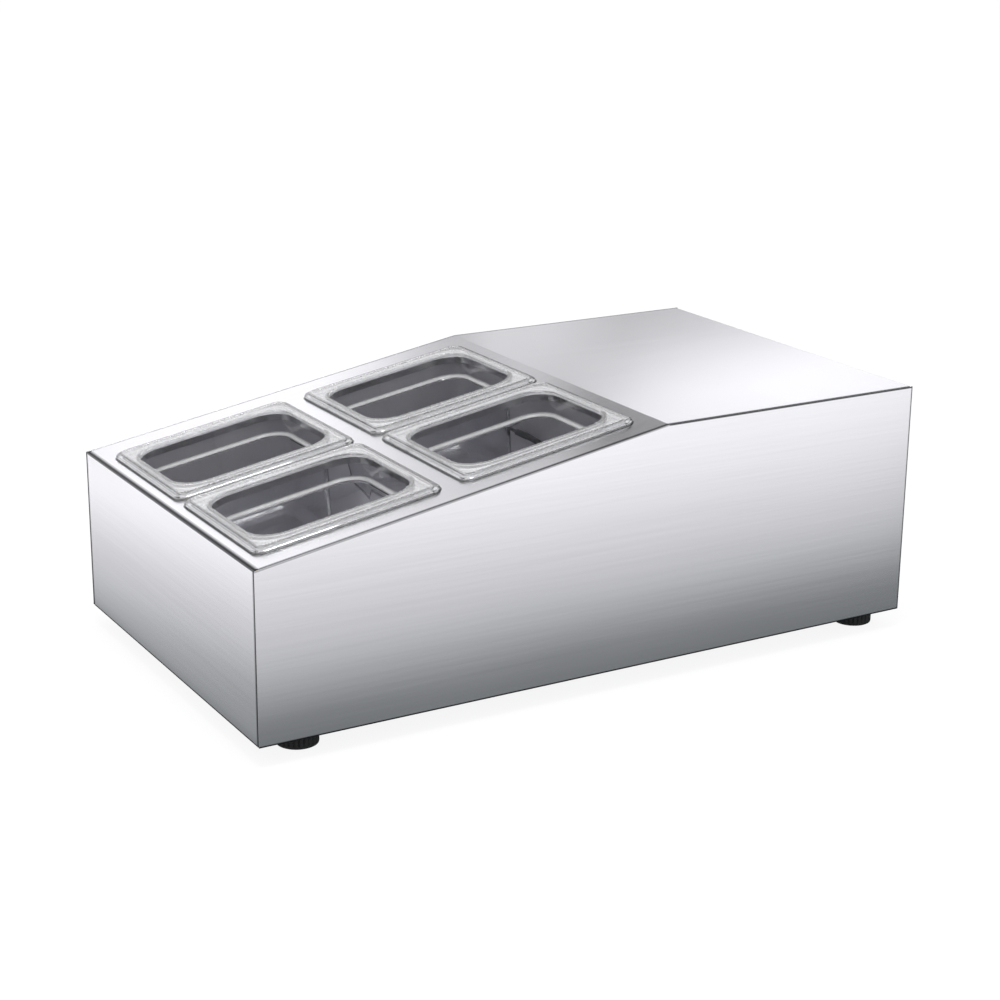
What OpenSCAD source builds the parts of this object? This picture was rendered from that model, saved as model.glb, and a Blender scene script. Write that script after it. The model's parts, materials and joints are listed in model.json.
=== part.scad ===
// Countertop refrigerated topping unit with a sloping deck for four sixth-size pans.
// X runs from the low serving end to the high machine end, Y across it, Z up from the counter.
// The origin is the middle of the footprint, on the counter.

/* [Casing] */
// Length of the casing, low end to high end
body_l = 670; // [660:1:700]
// Width of the casing
body_w = 385; // [380:1:400]
// Height of the casing at the low end, above its underside
low_h = 152; // [150:1:160]
// Height of the casing at the high end, above its underside
high_h = 220; // [216:1:232]
// Length of the level top over the machine bay
flat_l = 275; // [268:1:290]
// Thickness of the stainless sheet
sheet_t = 1; // [0.8:0.1:1.2]
// Outer radius of a folded edge
bend_r = 2; // [1.6:0.1:2.4]
// Outer radius of the shallow fold across the top
fold_r = 4; // [3:0.5:8]
// Depth of the folded-in edges
flange_d = 12; // [10:0.5:14]
// Gap between nested panels
panel_gap = 0.3; // [0.2:0.05:0.4]

/* [Pans] */
// Full depth of a pan, from its rim
pan_d = 100; // [65:1:104]
// Width of a pan's flange at its two ends
flange_end = 13; // [12.5:0.5:15]
// Width of a pan's flange along its two long sides
flange_side = 18.5; // [17:0.5:20]
// Corner radius of a pan's mouth
mouth_r = 26; // [22:0.5:30]
// Corner radius of a pan's flange
rim_r = 12; // [9:0.5:15]
// Wall of a moulded pan
pan_t = 2.4; // [2:0.1:2.8]
// Height of the flat land of a rim above the deck
land_h = 5.5; // [5:0.1:7]
// Height of the low outer lip of a rim above the deck
lip_h = 3.1; // [2.6:0.1:3.6]
// Width of the low outer lip
lip_w = 5; // [4:0.1:6]
// Wall of the rim's lip
rim_t = 1.6; // [1.2:0.1:2]
// Depth of the stacking shoulder below the rim
shoulder_d = 24; // [20:0.5:30]
// Step inwards at the shoulder
shoulder_in = 3.5; // [2.5:0.1:4.5]
// Draft of a pan's wall from the shoulder to the floor, on each side
pan_draft = 6; // [4:0.5:8]
// Radius where a pan's wall turns into its floor
floor_r = 9; // [6:0.5:12]
// Deck from the low end to the first pans
low_margin = 13.5; // [12:0.5:16]
// Deck from the upper pans to the fold
high_margin = 16.3; // [14:0.1:20]
// Deck from the right side to the nearer pans
right_margin = 26; // [24:0.5:28]
// Deck from the left side to the farther pans
left_margin = 36; // [34:0.5:38]
// Deck between the two pairs of pans, along the slope
pair_gap = 19; // [16:0.5:22]
// Deck between the pans of a pair
side_gap = 5; // [4:0.5:7]

/* [Well] */
// Room round a pan's wall in its cut-out
cut_gap = 1.6; // [1.2:0.1:2.4]
// Depth of the turned-down edge of a cut-out
collar_d = 5; // [3:0.5:8]
// Thickness of a cut-out's turned-down edge
collar_t = 1; // [0.8:0.1:1.2]
// Room inside the well past the outermost cut-outs
well_margin = 6; // [5:0.5:8]
// Inner depth of the well below the deck
well_d = 112; // [108:0.5:114]
// Thickness of the well's sheet
well_t = 0.8; // [0.6:0.1:1]
// Corner radius inside the well
well_r = 16; // [12:1:20]
// Width of the well's flange under the deck
well_flange = 8; // [6:0.5:9]
// Radius of the evaporator tube
coil_r = 4; // [3:0.5:4.5]
// Turns of evaporator tube round the well
coil_turns = 3; // [2:1:4]
// Drop of the evaporator tube in one turn
coil_pitch = 22; // [18:1:24]
// Distance from the fold to the bulkhead
bulkhead_set = 45; // [42:1:50]
// Liner's wall to the middle of the thermometer's bulb
probe_set = 6; // [4.5:0.5:8]

/* [Machine] */
// Left side to the compressor's shell
comp_side = 22.5; // [21:0.5:28]
// Middle line to the compressor's shell
comp_mid = 38; // [36:1:44]
// Bulkhead to the compressor's shell
comp_room = 35; // [32:1:38]
// Top of the casing to the compressor's shell
comp_head = 56; // [50:1:76]
// How far the compressor's base plate stands out on each side of the shell
plate_past = 14; // [12:1:16]
// Width of the compressor's base plate
plate_w = 116; // [110:1:124]
// Thickness of the compressor's base plate
plate_t = 3; // [2:0.5:4]
// Height of the rubber grommets
grommet_h = 10; // [8:0.5:14]
// Radius of the grommets
grommet_r = 11; // [9:0.5:12]
// Radius of the compressor bolts
bolt_r = 3; // [2.5:0.5:4]
// Right side to the condenser's finned core
cond_side = 27.5; // [26:0.5:32]
// Middle line to the condenser's finned core
cond_mid = 25; // [24:1:30]
// Top of the casing to the condenser
cond_head = 29; // [24:1:40]
// Thickness of the condenser through its fins
cond_t = 40; // [36:1:44]
// Rear panel to the condenser
cond_set = 18; // [14:1:22]
// Number of fins
fin_count = 26; // [16:1:30]
// Thickness of a fin
fin_t = 0.8; // [0.5:0.1:1]
// Radius of the condenser tubes
tube_r = 4; // [3:0.5:4.5]
// Rows of condenser tube
tube_rows = 8; // [6:2:10]
// Edge of the condenser's core to the tips of the fan
fan_inset = 8; // [6:0.5:14]
// Number of fan blades
blade_count = 5; // [4:1:7]
// Pitch of the fan blades in degrees
blade_pitch = 26; // [18:1:30]
// Radius of the fan motor
motor_r = 29; // [24:1:32]
// Length of the fan motor
motor_l = 46; // [38:1:50]
// Radius of the motor shaft
shaft_r = 2.5; // [2:0.5:3]
// Running clearance of shafts and pins
run_gap = 0.05; // [0.03:0.01:0.08]
// Radius of the filter drier
drier_r = 10; // [8:0.5:11]
// Length of the filter drier
drier_l = 96; // [80:1:110]

/* [Rear controls] */
// Width of the controller's bezel
bezel_w = 76; // [74:1:80]
// Height of the controller's bezel
bezel_h = 34; // [32:1:36]
// Thickness of the controller's bezel
bezel_t = 2.4; // [2:0.1:3]
// Depth of the controller's case behind the panel
case_d = 52; // [40:1:56]
// Travel of the controller's buttons
button_travel = 0.4; // [0.3:0.05:0.5]
// How far a button stands out of the bezel
button_out = 0.6; // [0.5:0.05:0.9]
// Height of the switch's opening
switch_h = 17.6; // [17:0.1:19]
// Width of the switch's opening
switch_w = 11; // [10:0.1:13]
// Tilt of the rocker to each side in degrees
rocker_tilt = 7; // [5:0.5:8]
// Width of the power inlet's socket
socket_w = 24; // [23:0.5:26]
// Height of the power inlet's socket
socket_h = 16.4; // [16:0.1:18]
// Depth of the power inlet's socket
socket_d = 18; // [16:0.5:20]
// Radius of a screw's head
head_r = 3.6; // [3:0.1:4]
// Height of a screw's head
head_h = 2; // [1.6:0.1:2.4]
// Radius of a screw's shank
screw_r = 1.75; // [1.4:0.05:2]

/* [Feet] */
// Height of the feet under the casing
foot_h = 18; // [14:0.5:24]
// Radius of a foot
foot_r = 18.5; // [16:0.5:20]
// Radius of a foot's stud
stud_r = 4; // [3:0.5:5]
// Length of a stud above the casing's underside
stud_l = 27; // [24:1:28]
// Low end to the middle of the front feet
foot_low = 50; // [46:1:56]
// High end to the middle of the rear feet
foot_high = 28; // [25:1:34]
// Side to the middle of a foot
foot_side = 35; // [32:1:40]
// Grip flutes round a foot
flute_count = 24; // [12:1:32]

/* [Hidden] */
$fn = 48;

steel = [0.80, 0.81, 0.82];
dark_steel = [0.55, 0.56, 0.58];
clear_plastic = [0.86, 0.88, 0.90, 0.45];
copper = [0.72, 0.45, 0.30];
black_plastic = [0.10, 0.10, 0.11];
zinc = [0.70, 0.70, 0.66];

// Margin by which a cutting shape runs past what it cuts
over = 1;
// Length by which drawn shapes run into each other
lap = 1;
// Clearance of a piece that sits in a hole or against its seat
seat_gap = 0.25;
// Cuts round a bend, the shallow fold, a pan's corner and a tube's bend
bend_steps = 6;
fold_steps = 3;
corner_steps = 5;
path_steps = 3;
// Facets round a tube and round a thin wire
tube_facets = 8;
wire_facets = 6;
// Most that anything on the rear panel stands out past the casing
rear_out = max(head_h, bezel_t + button_out - sheet_t);

x_low = -(body_l + rear_out) / 2;
x_high = x_low + body_l;
slope_run = body_l - flat_l;
x_fold = x_low + slope_run;
z_low = foot_h + low_h;
z_high = foot_h + high_h;
slope_a = atan((high_h - low_h) / slope_run);
slope_l = slope_run / cos(slope_a);
nest = sheet_t + panel_gap;
half_w = body_w / 2;
x_front_in = x_low + nest;
floor_z = foot_h + sheet_t;
// Room left at the ends of a folded edge, where another fold passes
fold_end = bend_r + flange_d + lap;

// Pans fill the deck between its margins
pan_l = (slope_l - low_margin - high_margin - pair_gap) / 2;
pan_w = (body_w - right_margin - left_margin - side_gap) / 2;
mouth_l = pan_l - 2 * flange_end;
mouth_w = pan_w - 2 * flange_side;
// Pan places on the deck, as distance up the slope and across
pan_u = [low_margin + pan_l / 2, low_margin + pan_l * 1.5 + pair_gap];
pan_y = [right_margin + pan_w / 2 - half_w, right_margin + pan_w * 1.5 + side_gap - half_w];
cut_l = mouth_l + 2 * (pan_t + cut_gap);
cut_w = mouth_w + 2 * (pan_t + cut_gap);
cut_r = mouth_r + pan_t + cut_gap;
ring_count = 4 * (corner_steps + 1);
// Least corner radius of a pan's ring
least_r = 3;
shoulder_z = land_h - shoulder_d;
pan_floor_z = land_h - pan_d + pan_t;
mouth_round = 1.6;
shoulder_round = 2.4;
edge_round = 0.8;
rim_fillet = 1.2;
top_draft = 1.5;
wall_inset = shoulder_in + top_draft;

// The well, measured on the deck
well_l = pan_u[1] - pan_u[0] + cut_l + 2 * well_margin;
well_w = pan_y[1] - pan_y[0] + cut_w + 2 * well_margin;
well_u = (pan_u[0] + pan_u[1]) / 2;
well_y = (pan_y[0] + pan_y[1]) / 2;
coil_out = well_t + seat_gap + coil_r;
coil_room = well_t + 2 * seat_gap + 2 * coil_r;
coil_bend = well_r + coil_out;
// Depth of the evaporator tube's first turn below the deck
coil_depth = 26;
coil_top = -coil_depth;
coil_low = coil_top - coil_pitch * coil_turns;
wire_r = 1.5;
bulb_r = 3;
bulb_l = 40;
// Thermometer: its depth, its place across the well and the room round its lead
probe_depth = 60;
probe_n = -probe_depth;
probe_y = well_w / 5;
wire_gap = 1;
wire_room = wire_r + wire_gap;
lead_room = coil_r + 0.5;
pocket_room = coil_r + 2;

bulkhead_x = x_fold + bulkhead_set;
bay_x = bulkhead_x + sheet_t;
// How far the well's leads come out of the bulkhead
lead_out = 8;
lead_u = (bay_x + lead_out - x_low) / cos(slope_a);
// Right wall of the well to the inlet end of the evaporator
inlet_set = 34;
inlet_y = well_y - well_w / 2 + inlet_set;

// The rear panel's outer face lies behind the folded edges round it
rear_x = x_high - sheet_t;
rear_in = rear_x - sheet_t;

comp_r = (half_w - comp_side - comp_mid) / 2;
comp_x = bay_x + comp_room + comp_r;
comp_y = comp_mid + comp_r;
comp_z = floor_z + grommet_h + plate_t;
comp_h = z_high - comp_head - comp_z;
plate_l = 2 * (comp_r + plate_past);
seam_z = comp_h * 0.42;
seam_t = 2;
seam_out = 3;
bolt_head = 4;
grommet_edge = 1;
relay_l = 34;
relay_w = 48;
relay_h = 38;
relay_out = 20;
relay_up = 5;
// Stubs on the compressor's shell, for the pipes and for filling
stub_l = 17;
stub_y = comp_mid - stub_l;
stub_r = 4;
suction_side = 25;
discharge_side = 20;
fill_r = 3;
fill_z = comp_z + comp_h * 0.24;
suction_x = comp_x - suction_side;
suction_z = comp_z + comp_h * 2 / 3;
discharge_x = comp_x + discharge_side;
discharge_z = comp_z + comp_h * 0.4;

cond_w = half_w - cond_side - cond_mid;
cond_y = cond_mid + cond_w / 2;
cond_x1 = rear_in - cond_set;
cond_x0 = cond_x1 - cond_t;
cond_mid_x = (cond_x0 + cond_x1) / 2;
// Room over the studs, under the condenser
cond_lift = 4;
cond_z = foot_h + stud_l + cond_lift;
cond_h = z_high - cond_head - cond_z;
leg_w = 18;
frame_foot = 9;
end_t = 1.2;
fin_edge = 1.5;
tube_pitch = cond_h / tube_rows;
tube_past = 2;
tube_end = 12;
tube_end_y = tube_end - cond_mid;
tube_top_z = cond_z + cond_h - tube_pitch / 2;
tube_low_z = cond_z + tube_pitch / 2;
// The pipes run midway between the condenser's ends and the compressor's stubs
pipe_y = (tube_end_y + stub_y) / 2;
pipe_bend = 10;
pipe_lead = 16;
fan_r = min(cond_w, cond_h) / 2 - fan_inset;
fan_gap = 3;
plenum_d = 16;
shroud_t = 1.2;
shroud_x = cond_x0 - plenum_d;
collar_l = 16;
fan_z = cond_z + cond_h / 2;
hub_r = 14;
hub_l = 15;
blade_t = 1.4;
hub_x = shroud_x - hub_l;
motor_gap = 2;
motor_x = hub_x - motor_gap - motor_l;
boss_r = motor_r * 0.3;
boss_out = 3;
bracket_t = 2;
bracket_w = 34;
bracket_foot = 26;
drier_set = 8;
drier_drop = 62;
drier_x = bay_x + drier_r + drier_set;
drier_y = -cond_y;
drier_z = z_high - drier_drop;
neck_l = 8;
neck_step = 2;
clip_w = 16;
clip_edge = 2;
cap_r = 1.1;
wound_r = 12;
wound_set = 34;
wound_pitch = 3.4;
wound_turns = 3;
cap_lead = 14;

// Vent slots: their width, the metal between their ends, and the fields they fill
slot_w = 5;
slot_bridge = 8;
vent_edge = 12;
shell_vent_in = 20;
shell_vent_h = 62;
shell_vent_up = 53;
shell_vent_z = floor_z + shell_vent_up + shell_vent_h / 2;
base_vent_in = 20;
base_vent_w = 44;

// Rear controls, placed from the left side and from the top
control_drop = 42;
controller_in = 60.5;
rocker_in = 130.5;
inlet_in = 42.5;
inlet_up = 40;
control_z = z_high - control_drop;
controller_y = half_w - controller_in;
rocker_y = half_w - rocker_in;
inlet_mid_y = half_w - inlet_in;
inlet_mid_z = foot_h + inlet_up;
bezel_face = rear_x + bezel_t;
bezel_past = 2.5;
bezel_r = 3;
case_w = bezel_w - 2 * bezel_past;
case_h = bezel_h - 2 * bezel_past;
button_w = 9;
button_h = 6;
button_l = 2.6;
button_r = 1;
button_room = 0.1;
button_pitch_y = 11;
button_pitch_z = 10;
button_side = 20;
button_places = [[-0.5, 0.5], [0.5, 0.5], [0.5, -0.5], [-0.5, -0.5]];
button_back = bezel_face + button_out - button_l;
window_w = 36;
window_h = 20;
window_t = 1;
window_side = 15;
window_y = controller_y + window_side;
buttons_y = controller_y - button_side;
switch_bezel_t = 1.8;
switch_rim = 2.4;
switch_wall = 1.8;
switch_r = 1.5;
switch_d = 18;
pivot_in = 4;
pivot_x = rear_x + switch_bezel_t - pivot_in;
pocket_in = 6;
pin_r = 1.4;
pin_l = 0.8;
inlet_rim = 4;
inlet_r = 2;
inlet_t = 2;
inlet_wall = 1.6;
inlet_back = 4;

foot_gap = 0.3;
stud_foot = 5;
stud_gap = 0.1;
stud_room = 0.5;
nut_h = 12;
nut_r = 7.5;
nut_room = 1.5;
feet = [[x_low + foot_low, foot_side - half_w], [x_low + foot_low, half_w - foot_side],
    [x_high - foot_high, foot_side - half_w], [x_high - foot_high, half_w - foot_side]];
screw_in = 5;
screw_end = 40;
screw_y = half_w - bend_r - flange_d / 2 - lap;
screw_z = [foot_h + screw_end, (foot_h + z_high) / 2, z_high - screw_end];

// A point on the deck's own axes, as a point in space
function deck_point(u, y, n) = [
    x_low + u * cos(slope_a) - n * sin(slope_a),
    y,
    z_low + u * sin(slope_a) + n * cos(slope_a)];
// Points of an arc in a plane
function arc(cx, cy, r, a0, a1, steps) = [
    for (i = [0:steps]) let (a = a0 + (a1 - a0) * i / steps) [cx + r * cos(a), cy + r * sin(a)]];
function unit(v) = v / norm(v);

// Places its children on the deck, with Z square to it
module on_deck(u = 0, y = 0, n = 0) {
    translate([x_low, 0, z_low]) rotate([0, -slope_a, 0]) translate([u, y, n]) children();
}

// Rectangle with round corners, centred
module rounded_rect(l, w, r) {
    square([l - 2 * r, w], center = true);
    square([l, w - 2 * r], center = true);
    for (sx = [-1, 1], sy = [-1, 1]) translate([sx * (l / 2 - r), sy * (w / 2 - r)]) circle(r);
}

// Slot with round ends, along the first axis
module slot(l, w) {
    square([l - w, w], center = true);
    for (s = [-1, 1]) translate([s * (l - w) / 2, 0]) circle(w / 2);
}

// Turns a profile drawn in X and Z into a solid of the given width across Y
module across(w) {
    rotate([90, 0, 0]) linear_extrude(w, center = true) children();
}

// Quarter bend of a sheet: its outer faces are the two axes
module edge_bend() {
    translate([-bend_r, -bend_r]) intersection() {
        difference() {
            circle(bend_r);
            circle(bend_r - sheet_t);
        }
        square(bend_r + over);
    }
}

// Bend with a leg along the first axis and a fold along the second
module bent_edge(leg, drop) {
    edge_bend();
    translate([-bend_r - leg, -sheet_t]) square([leg, sheet_t]);
    translate([-sheet_t, -bend_r - drop]) square([sheet_t, drop]);
}

// Half of space on the low side of the fold, for a mitre
module low_side() {
    translate([x_fold, 0, z_high]) rotate([0, -slope_a / 2, 0])
        translate([-body_l, -body_w, -body_l / 2]) cube([body_l, 2 * body_w, body_l]);
}
module high_side() {
    translate([x_fold, 0, z_high]) rotate([0, -slope_a / 2, 0])
        translate([0, -body_w, -body_l / 2]) cube([body_l, 2 * body_w, body_l]);
}

// Section of the folded top, from the low end's edge to the high end's edge
module top_profile() {
    front_cx = x_front_in + bend_r;
    front_cz = z_low + (front_cx - x_low) * tan(slope_a) - bend_r / cos(slope_a);
    fold_cx = x_fold + fold_r * tan(slope_a / 2);
    fold_cz = z_high - fold_r;
    rear_cx = x_high - bend_r;
    rear_cz = z_high - bend_r;
    bend_in = bend_r - sheet_t;
    fold_in = fold_r - sheet_t;
    polygon(concat(
        [[x_front_in, front_cz - flange_d]],
        arc(front_cx, front_cz, bend_r, 180, 90 + slope_a, bend_steps),
        arc(fold_cx, fold_cz, fold_r, 90 + slope_a, 90, fold_steps),
        arc(rear_cx, rear_cz, bend_r, 90, 0, bend_steps),
        [[x_high, rear_cz - flange_d], [x_high - sheet_t, rear_cz - flange_d]],
        arc(rear_cx, rear_cz, bend_in, 0, 90, bend_steps),
        arc(fold_cx, fold_cz, fold_in, 90, 90 + slope_a, fold_steps),
        arc(front_cx, front_cz, bend_in, 90 + slope_a, 180, bend_steps),
        [[x_front_in + sheet_t, front_cz - flange_d]]));
}

// Folded long edges of the top: one run down the slope and one along the flat
module top_edge() {
    run_y = half_w - nest;
    strip = bend_r + 2 * lap;
    start_u = (nest + bend_r + lap) / cos(slope_a);
    // The level run starts before the fold, and the mitre cuts it there
    before = 2 * fold_end;
    intersection() {
        on_deck(start_u, run_y) rotate([90, 0, 90]) linear_extrude(slope_l) bent_edge(strip, flange_d);
        low_side();
    }
    intersection() {
        translate([x_fold - before, run_y, z_high]) rotate([90, 0, 90])
            linear_extrude(flat_l + before - bend_r - panel_gap) bent_edge(strip, flange_d);
        high_side();
    }
}

module top_panel() color(steel) {
    difference() {
        union() {
            across(2 * (half_w - nest - bend_r - lap)) top_profile();
            top_edge();
            mirror([0, 1, 0]) top_edge();
        }
        for (u = pan_u, y = pan_y) on_deck(u, y, -sheet_t - over)
            linear_extrude(sheet_t + 2 * over) rounded_rect(cut_l, cut_w, cut_r);
    }
    for (u = pan_u, y = pan_y) on_deck(u, y, -sheet_t - collar_d)
        linear_extrude(collar_d + sheet_t / 2) difference() {
            rounded_rect(cut_l + 2 * collar_t, cut_w + 2 * collar_t, cut_r + collar_t);
            rounded_rect(cut_l, cut_w, cut_r);
        }
}

// One long side: a flat sheet whose rear edge is folded in, with holes for the screws
module side_panel() {
    translate([0, half_w - sheet_t / 2, 0]) across(sheet_t) polygon([
        [x_low, foot_h], [x_high - bend_r, foot_h], [x_high - bend_r, z_high],
        [x_fold, z_high], [x_low, z_low]]);
    translate([x_high, half_w, foot_h]) linear_extrude(high_h) edge_bend();
    difference() {
        translate([rear_x, half_w - bend_r - flange_d, foot_h + fold_end])
            cube([sheet_t, flange_d, high_h - 2 * fold_end]);
        for (z = screw_z) translate([rear_x - over, screw_y, z]) rotate([0, 90, 0])
            cylinder(sheet_t + 2 * over, r = screw_r + seat_gap);
    }
}
module left_side_panel() color(steel) side_panel();
module right_side_panel() color(steel) mirror([0, 1, 0]) side_panel();

// Low end: a sheet folded back along both upright edges
module front_panel() color(steel) {
    face_w = 2 * (half_w - nest - bend_r);
    translate([x_low, -face_w / 2, foot_h]) cube([sheet_t, face_w, low_h]);
    for (s = [0, 1]) mirror([0, s, 0]) {
        translate([x_low, half_w - nest, foot_h]) mirror([1, 0, 0]) linear_extrude(low_h) edge_bend();
        translate([x_low + bend_r, half_w - nest - sheet_t, foot_h + fold_end])
            cube([flange_d, sheet_t, low_h - 2 * fold_end]);
    }
}

// Field of level slots, centred
module vent_slots(w, h, columns, rows) {
    slot_l = (w - (columns - 1) * slot_bridge) / columns;
    first = [(slot_l - w) / 2, (slot_w - h) / 2];
    step = [slot_l + slot_bridge, (h - slot_w) / (rows - 1)];
    for (i = [0:columns - 1], j = [0:rows - 1])
        translate([first[0] + i * step[0], first[1] + j * step[1]]) slot(slot_l, slot_w);
}

// Square hole for a piece of the given size, with a clearance round it
module seat_hole(w, h) {
    square([w + 2 * seat_gap, h + 2 * seat_gap], center = true);
}

// Rear cover: flat, behind the folded edges that surround it
module rear_panel() color(steel) {
    edge_y = half_w - bend_r - seat_gap;
    shell_vent_w = 2 * (comp_r - shell_vent_in);
    difference() {
        translate([rear_in, -edge_y, floor_z + seat_gap + bend_r])
            cube([sheet_t, 2 * edge_y, high_h - 2 * (sheet_t + seat_gap + bend_r)]);
        translate([rear_in - over, 0, 0]) rotate([90, 0, 90]) linear_extrude(sheet_t + 2 * over) {
            translate([-cond_y, fan_z]) vent_slots(cond_w - 2 * vent_edge, cond_h - 2 * vent_edge, 3, 13);
            translate([comp_mid + vent_edge / 2 + shell_vent_w / 2, shell_vent_z])
                vent_slots(shell_vent_w, shell_vent_h, 2, 6);
            translate([controller_y, control_z]) seat_hole(case_w, case_h);
            translate([rocker_y, control_z])
                seat_hole(switch_w + 2 * switch_wall, switch_h + 2 * switch_wall);
            translate([inlet_mid_y, inlet_mid_z])
                seat_hole(socket_w + 2 * inlet_wall, socket_h + 2 * inlet_wall);
            for (y = [-screw_y, screw_y], z = screw_z) translate([y, z]) circle(screw_r + seat_gap);
        }
    }
}

module rear_screws() color(zinc) {
    shank_l = x_high - rear_in + screw_in;
    for (y = [-screw_y, screw_y], z = screw_z) translate([x_high - shank_l, y, z]) rotate([0, 90, 0]) {
        cylinder(shank_l, r = screw_r);
        translate([0, 0, shank_l]) cylinder(head_h, r = head_r);
    }
}

// Bottom tray, folded up along all four edges
module base_pan() color(dark_steel) {
    edge_y = half_w - nest;
    flat_y = edge_y - bend_r - lap;
    run_l = body_l - 2 * (nest + bend_r + lap);
    wall_z = floor_z + bend_r + flange_d;
    difference() {
        union() {
            across(2 * flat_y) polygon([
                [x_front_in, foot_h], [x_high, foot_h], [x_high, wall_z], [rear_x, wall_z], [rear_x, floor_z],
                [x_front_in + sheet_t, floor_z], [x_front_in + sheet_t, wall_z], [x_front_in, wall_z]]);
            for (s = [0, 1]) mirror([0, s, 0]) translate([x_low + nest + bend_r + lap, edge_y, foot_h])
                mirror([0, 0, 1]) rotate([90, 0, 90]) linear_extrude(run_l) bent_edge(2 * lap, flange_d);
        }
        for (p = feet) translate([p[0], p[1], foot_h - over])
            cylinder(sheet_t + 2 * over, r = stud_r + stud_room);
        compressor_places() translate([0, 0, foot_h - over])
            cylinder(sheet_t + 2 * over, r = bolt_r + seat_gap);
        translate([hub_x, -cond_y, foot_h - over]) linear_extrude(sheet_t + 2 * over)
            rotate([0, 0, 90]) vent_slots(cond_w - 2 * base_vent_in, base_vent_w, 2, 5);
    }
}

// Sheet between the well and the machine bay, with holes for the tubes
module bulkhead() color(dark_steel) difference() {
    union() {
        translate([bulkhead_x, -half_w + nest + bend_r, floor_z])
            cube([sheet_t, body_w - 2 * (nest + bend_r), high_h - 2 * sheet_t - seat_gap]);
        translate([bay_x, -half_w + nest + bend_r + 2 * lap, floor_z])
            cube([flange_d, body_w - 2 * (nest + bend_r + 2 * lap), sheet_t]);
    }
    lead_channels();
}

// Straight ways through the foam and the bulkhead for both ends of the coil and the probe's lead
module lead_channels() {
    from_u = well_u + well_l / 2 + well_t + seat_gap;
    on_deck(from_u, pipe_y, coil_top) rotate([0, 90, 0]) cylinder(lead_u - from_u, r = lead_room);
    on_deck(from_u, inlet_y, coil_low) rotate([0, 90, 0]) cylinder(lead_u - from_u, r = lead_room);
    on_deck(from_u, probe_y, probe_n) rotate([0, 90, 0]) cylinder(lead_u - from_u, r = wire_room);
}

module well_liner() color(steel) difference() {
    union() {
        on_deck(well_u, well_y, -well_d - well_t) linear_extrude(well_d + well_t - sheet_t)
            rounded_rect(well_l + 2 * well_t, well_w + 2 * well_t, well_r + well_t);
        on_deck(well_u, well_y, -sheet_t - well_t) linear_extrude(well_t)
            rounded_rect(well_l + 2 * (well_t + well_flange), well_w + 2 * (well_t + well_flange),
                well_r + well_t + well_flange);
    }
    on_deck(well_u, well_y, -well_d) linear_extrude(well_d + over) rounded_rect(well_l, well_w, well_r);
    on_deck(well_u + well_l / 2 - over, probe_y, probe_n) rotate([0, 90, 0])
        cylinder(well_t + 2 * over, r = wire_r + seat_gap);
}

// Foam that fills the low part of the casing round the well
module insulation() color([0.93, 0.86, 0.62]) difference() {
    foam_x = x_front_in + bend_r;
    skin = sheet_t + seat_gap;
    across(body_w - 2 * (nest + bend_r)) polygon([
        [foam_x, floor_z], [bulkhead_x, floor_z], [bulkhead_x, z_high - skin],
        [x_fold + skin * tan(slope_a / 2), z_high - skin],
        [foam_x, z_low + (foam_x - x_low) * tan(slope_a) - skin / cos(slope_a)]]);
    on_deck(well_u, well_y, -well_d - well_t) linear_extrude(well_d + well_t)
        rounded_rect(well_l + 2 * coil_room, well_w + 2 * coil_room, well_r);
    for (p = feet) translate([p[0], p[1], foot_h])
        cylinder(stud_l + nut_room, r = nut_r + nut_room);
    lead_channels();
    bend_pocket(pipe_y, coil_top);
    bend_pocket(inlet_y - coil_bend, coil_low);
}

// Pocket in the foam where a lead of the coil bends into its turn
module bend_pocket(y, n) {
    pocket_l = coil_out + coil_bend + pocket_room;
    on_deck(well_u + well_l / 2, y - pocket_room, n - pocket_room)
        cube([pocket_l, coil_bend + 2 * pocket_room, 2 * pocket_room]);
}

// A path with its inner corners rounded, as points
function rounded_path(p, bend, steps) = concat([p[0]], [
    for (i = [1:len(p) - 2])
        let (a = p[i - 1] - p[i], b = p[i + 1] - p[i], d = min(bend, norm(a) * 0.49, norm(b) * 0.49))
        for (s = [0:steps]) let (q = s / steps)
            (p[i] + unit(a) * d) * pow(1 - q, 2) + 2 * p[i] * q * (1 - q) + (p[i] + unit(b) * d) * pow(q, 2)],
    [p[len(p) - 1]]);
function tangents(p) = [
    for (i = [0:len(p) - 1]) unit(p[min(i + 1, len(p) - 1)] - p[max(i - 1, 0)])];
// Normals carried along a path, from a first one that lies along no axis
function sides_of(t, i = 0, last = unit([0.3, 0.5, 0.8])) = i == len(t) ? [] :
    let (n = unit(last - (last * t[i]) * t[i])) concat([n], sides_of(t, i + 1, n));

// Faces of a stack of closed rings of k points, capped at both ends
function stack_faces(rings, k) = concat(
    [[for (j = [0:k - 1]) j]],
    [for (i = [0:rings - 2], j = [0:k - 1]) let (a = i * k + j, b = i * k + (j + 1) % k) each
        [[a, a + k, b], [b, a + k, b + k]]],
    [[for (j = [k - 1:-1:0]) (rings - 1) * k + j]]);

// Round tube swept along a path
module swept_tube(p, r, k = tube_facets) {
    t = tangents(p);
    n = sides_of(t);
    points = [for (i = [0:len(p) - 1]) let (m = cross(t[i], n[i])) for (j = [0:k - 1])
        p[i] + r * (cos(360 * j / k) * n[i] + sin(360 * j / k) * m)];
    polyhedron(points, stack_faces(len(p), k));
}

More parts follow.
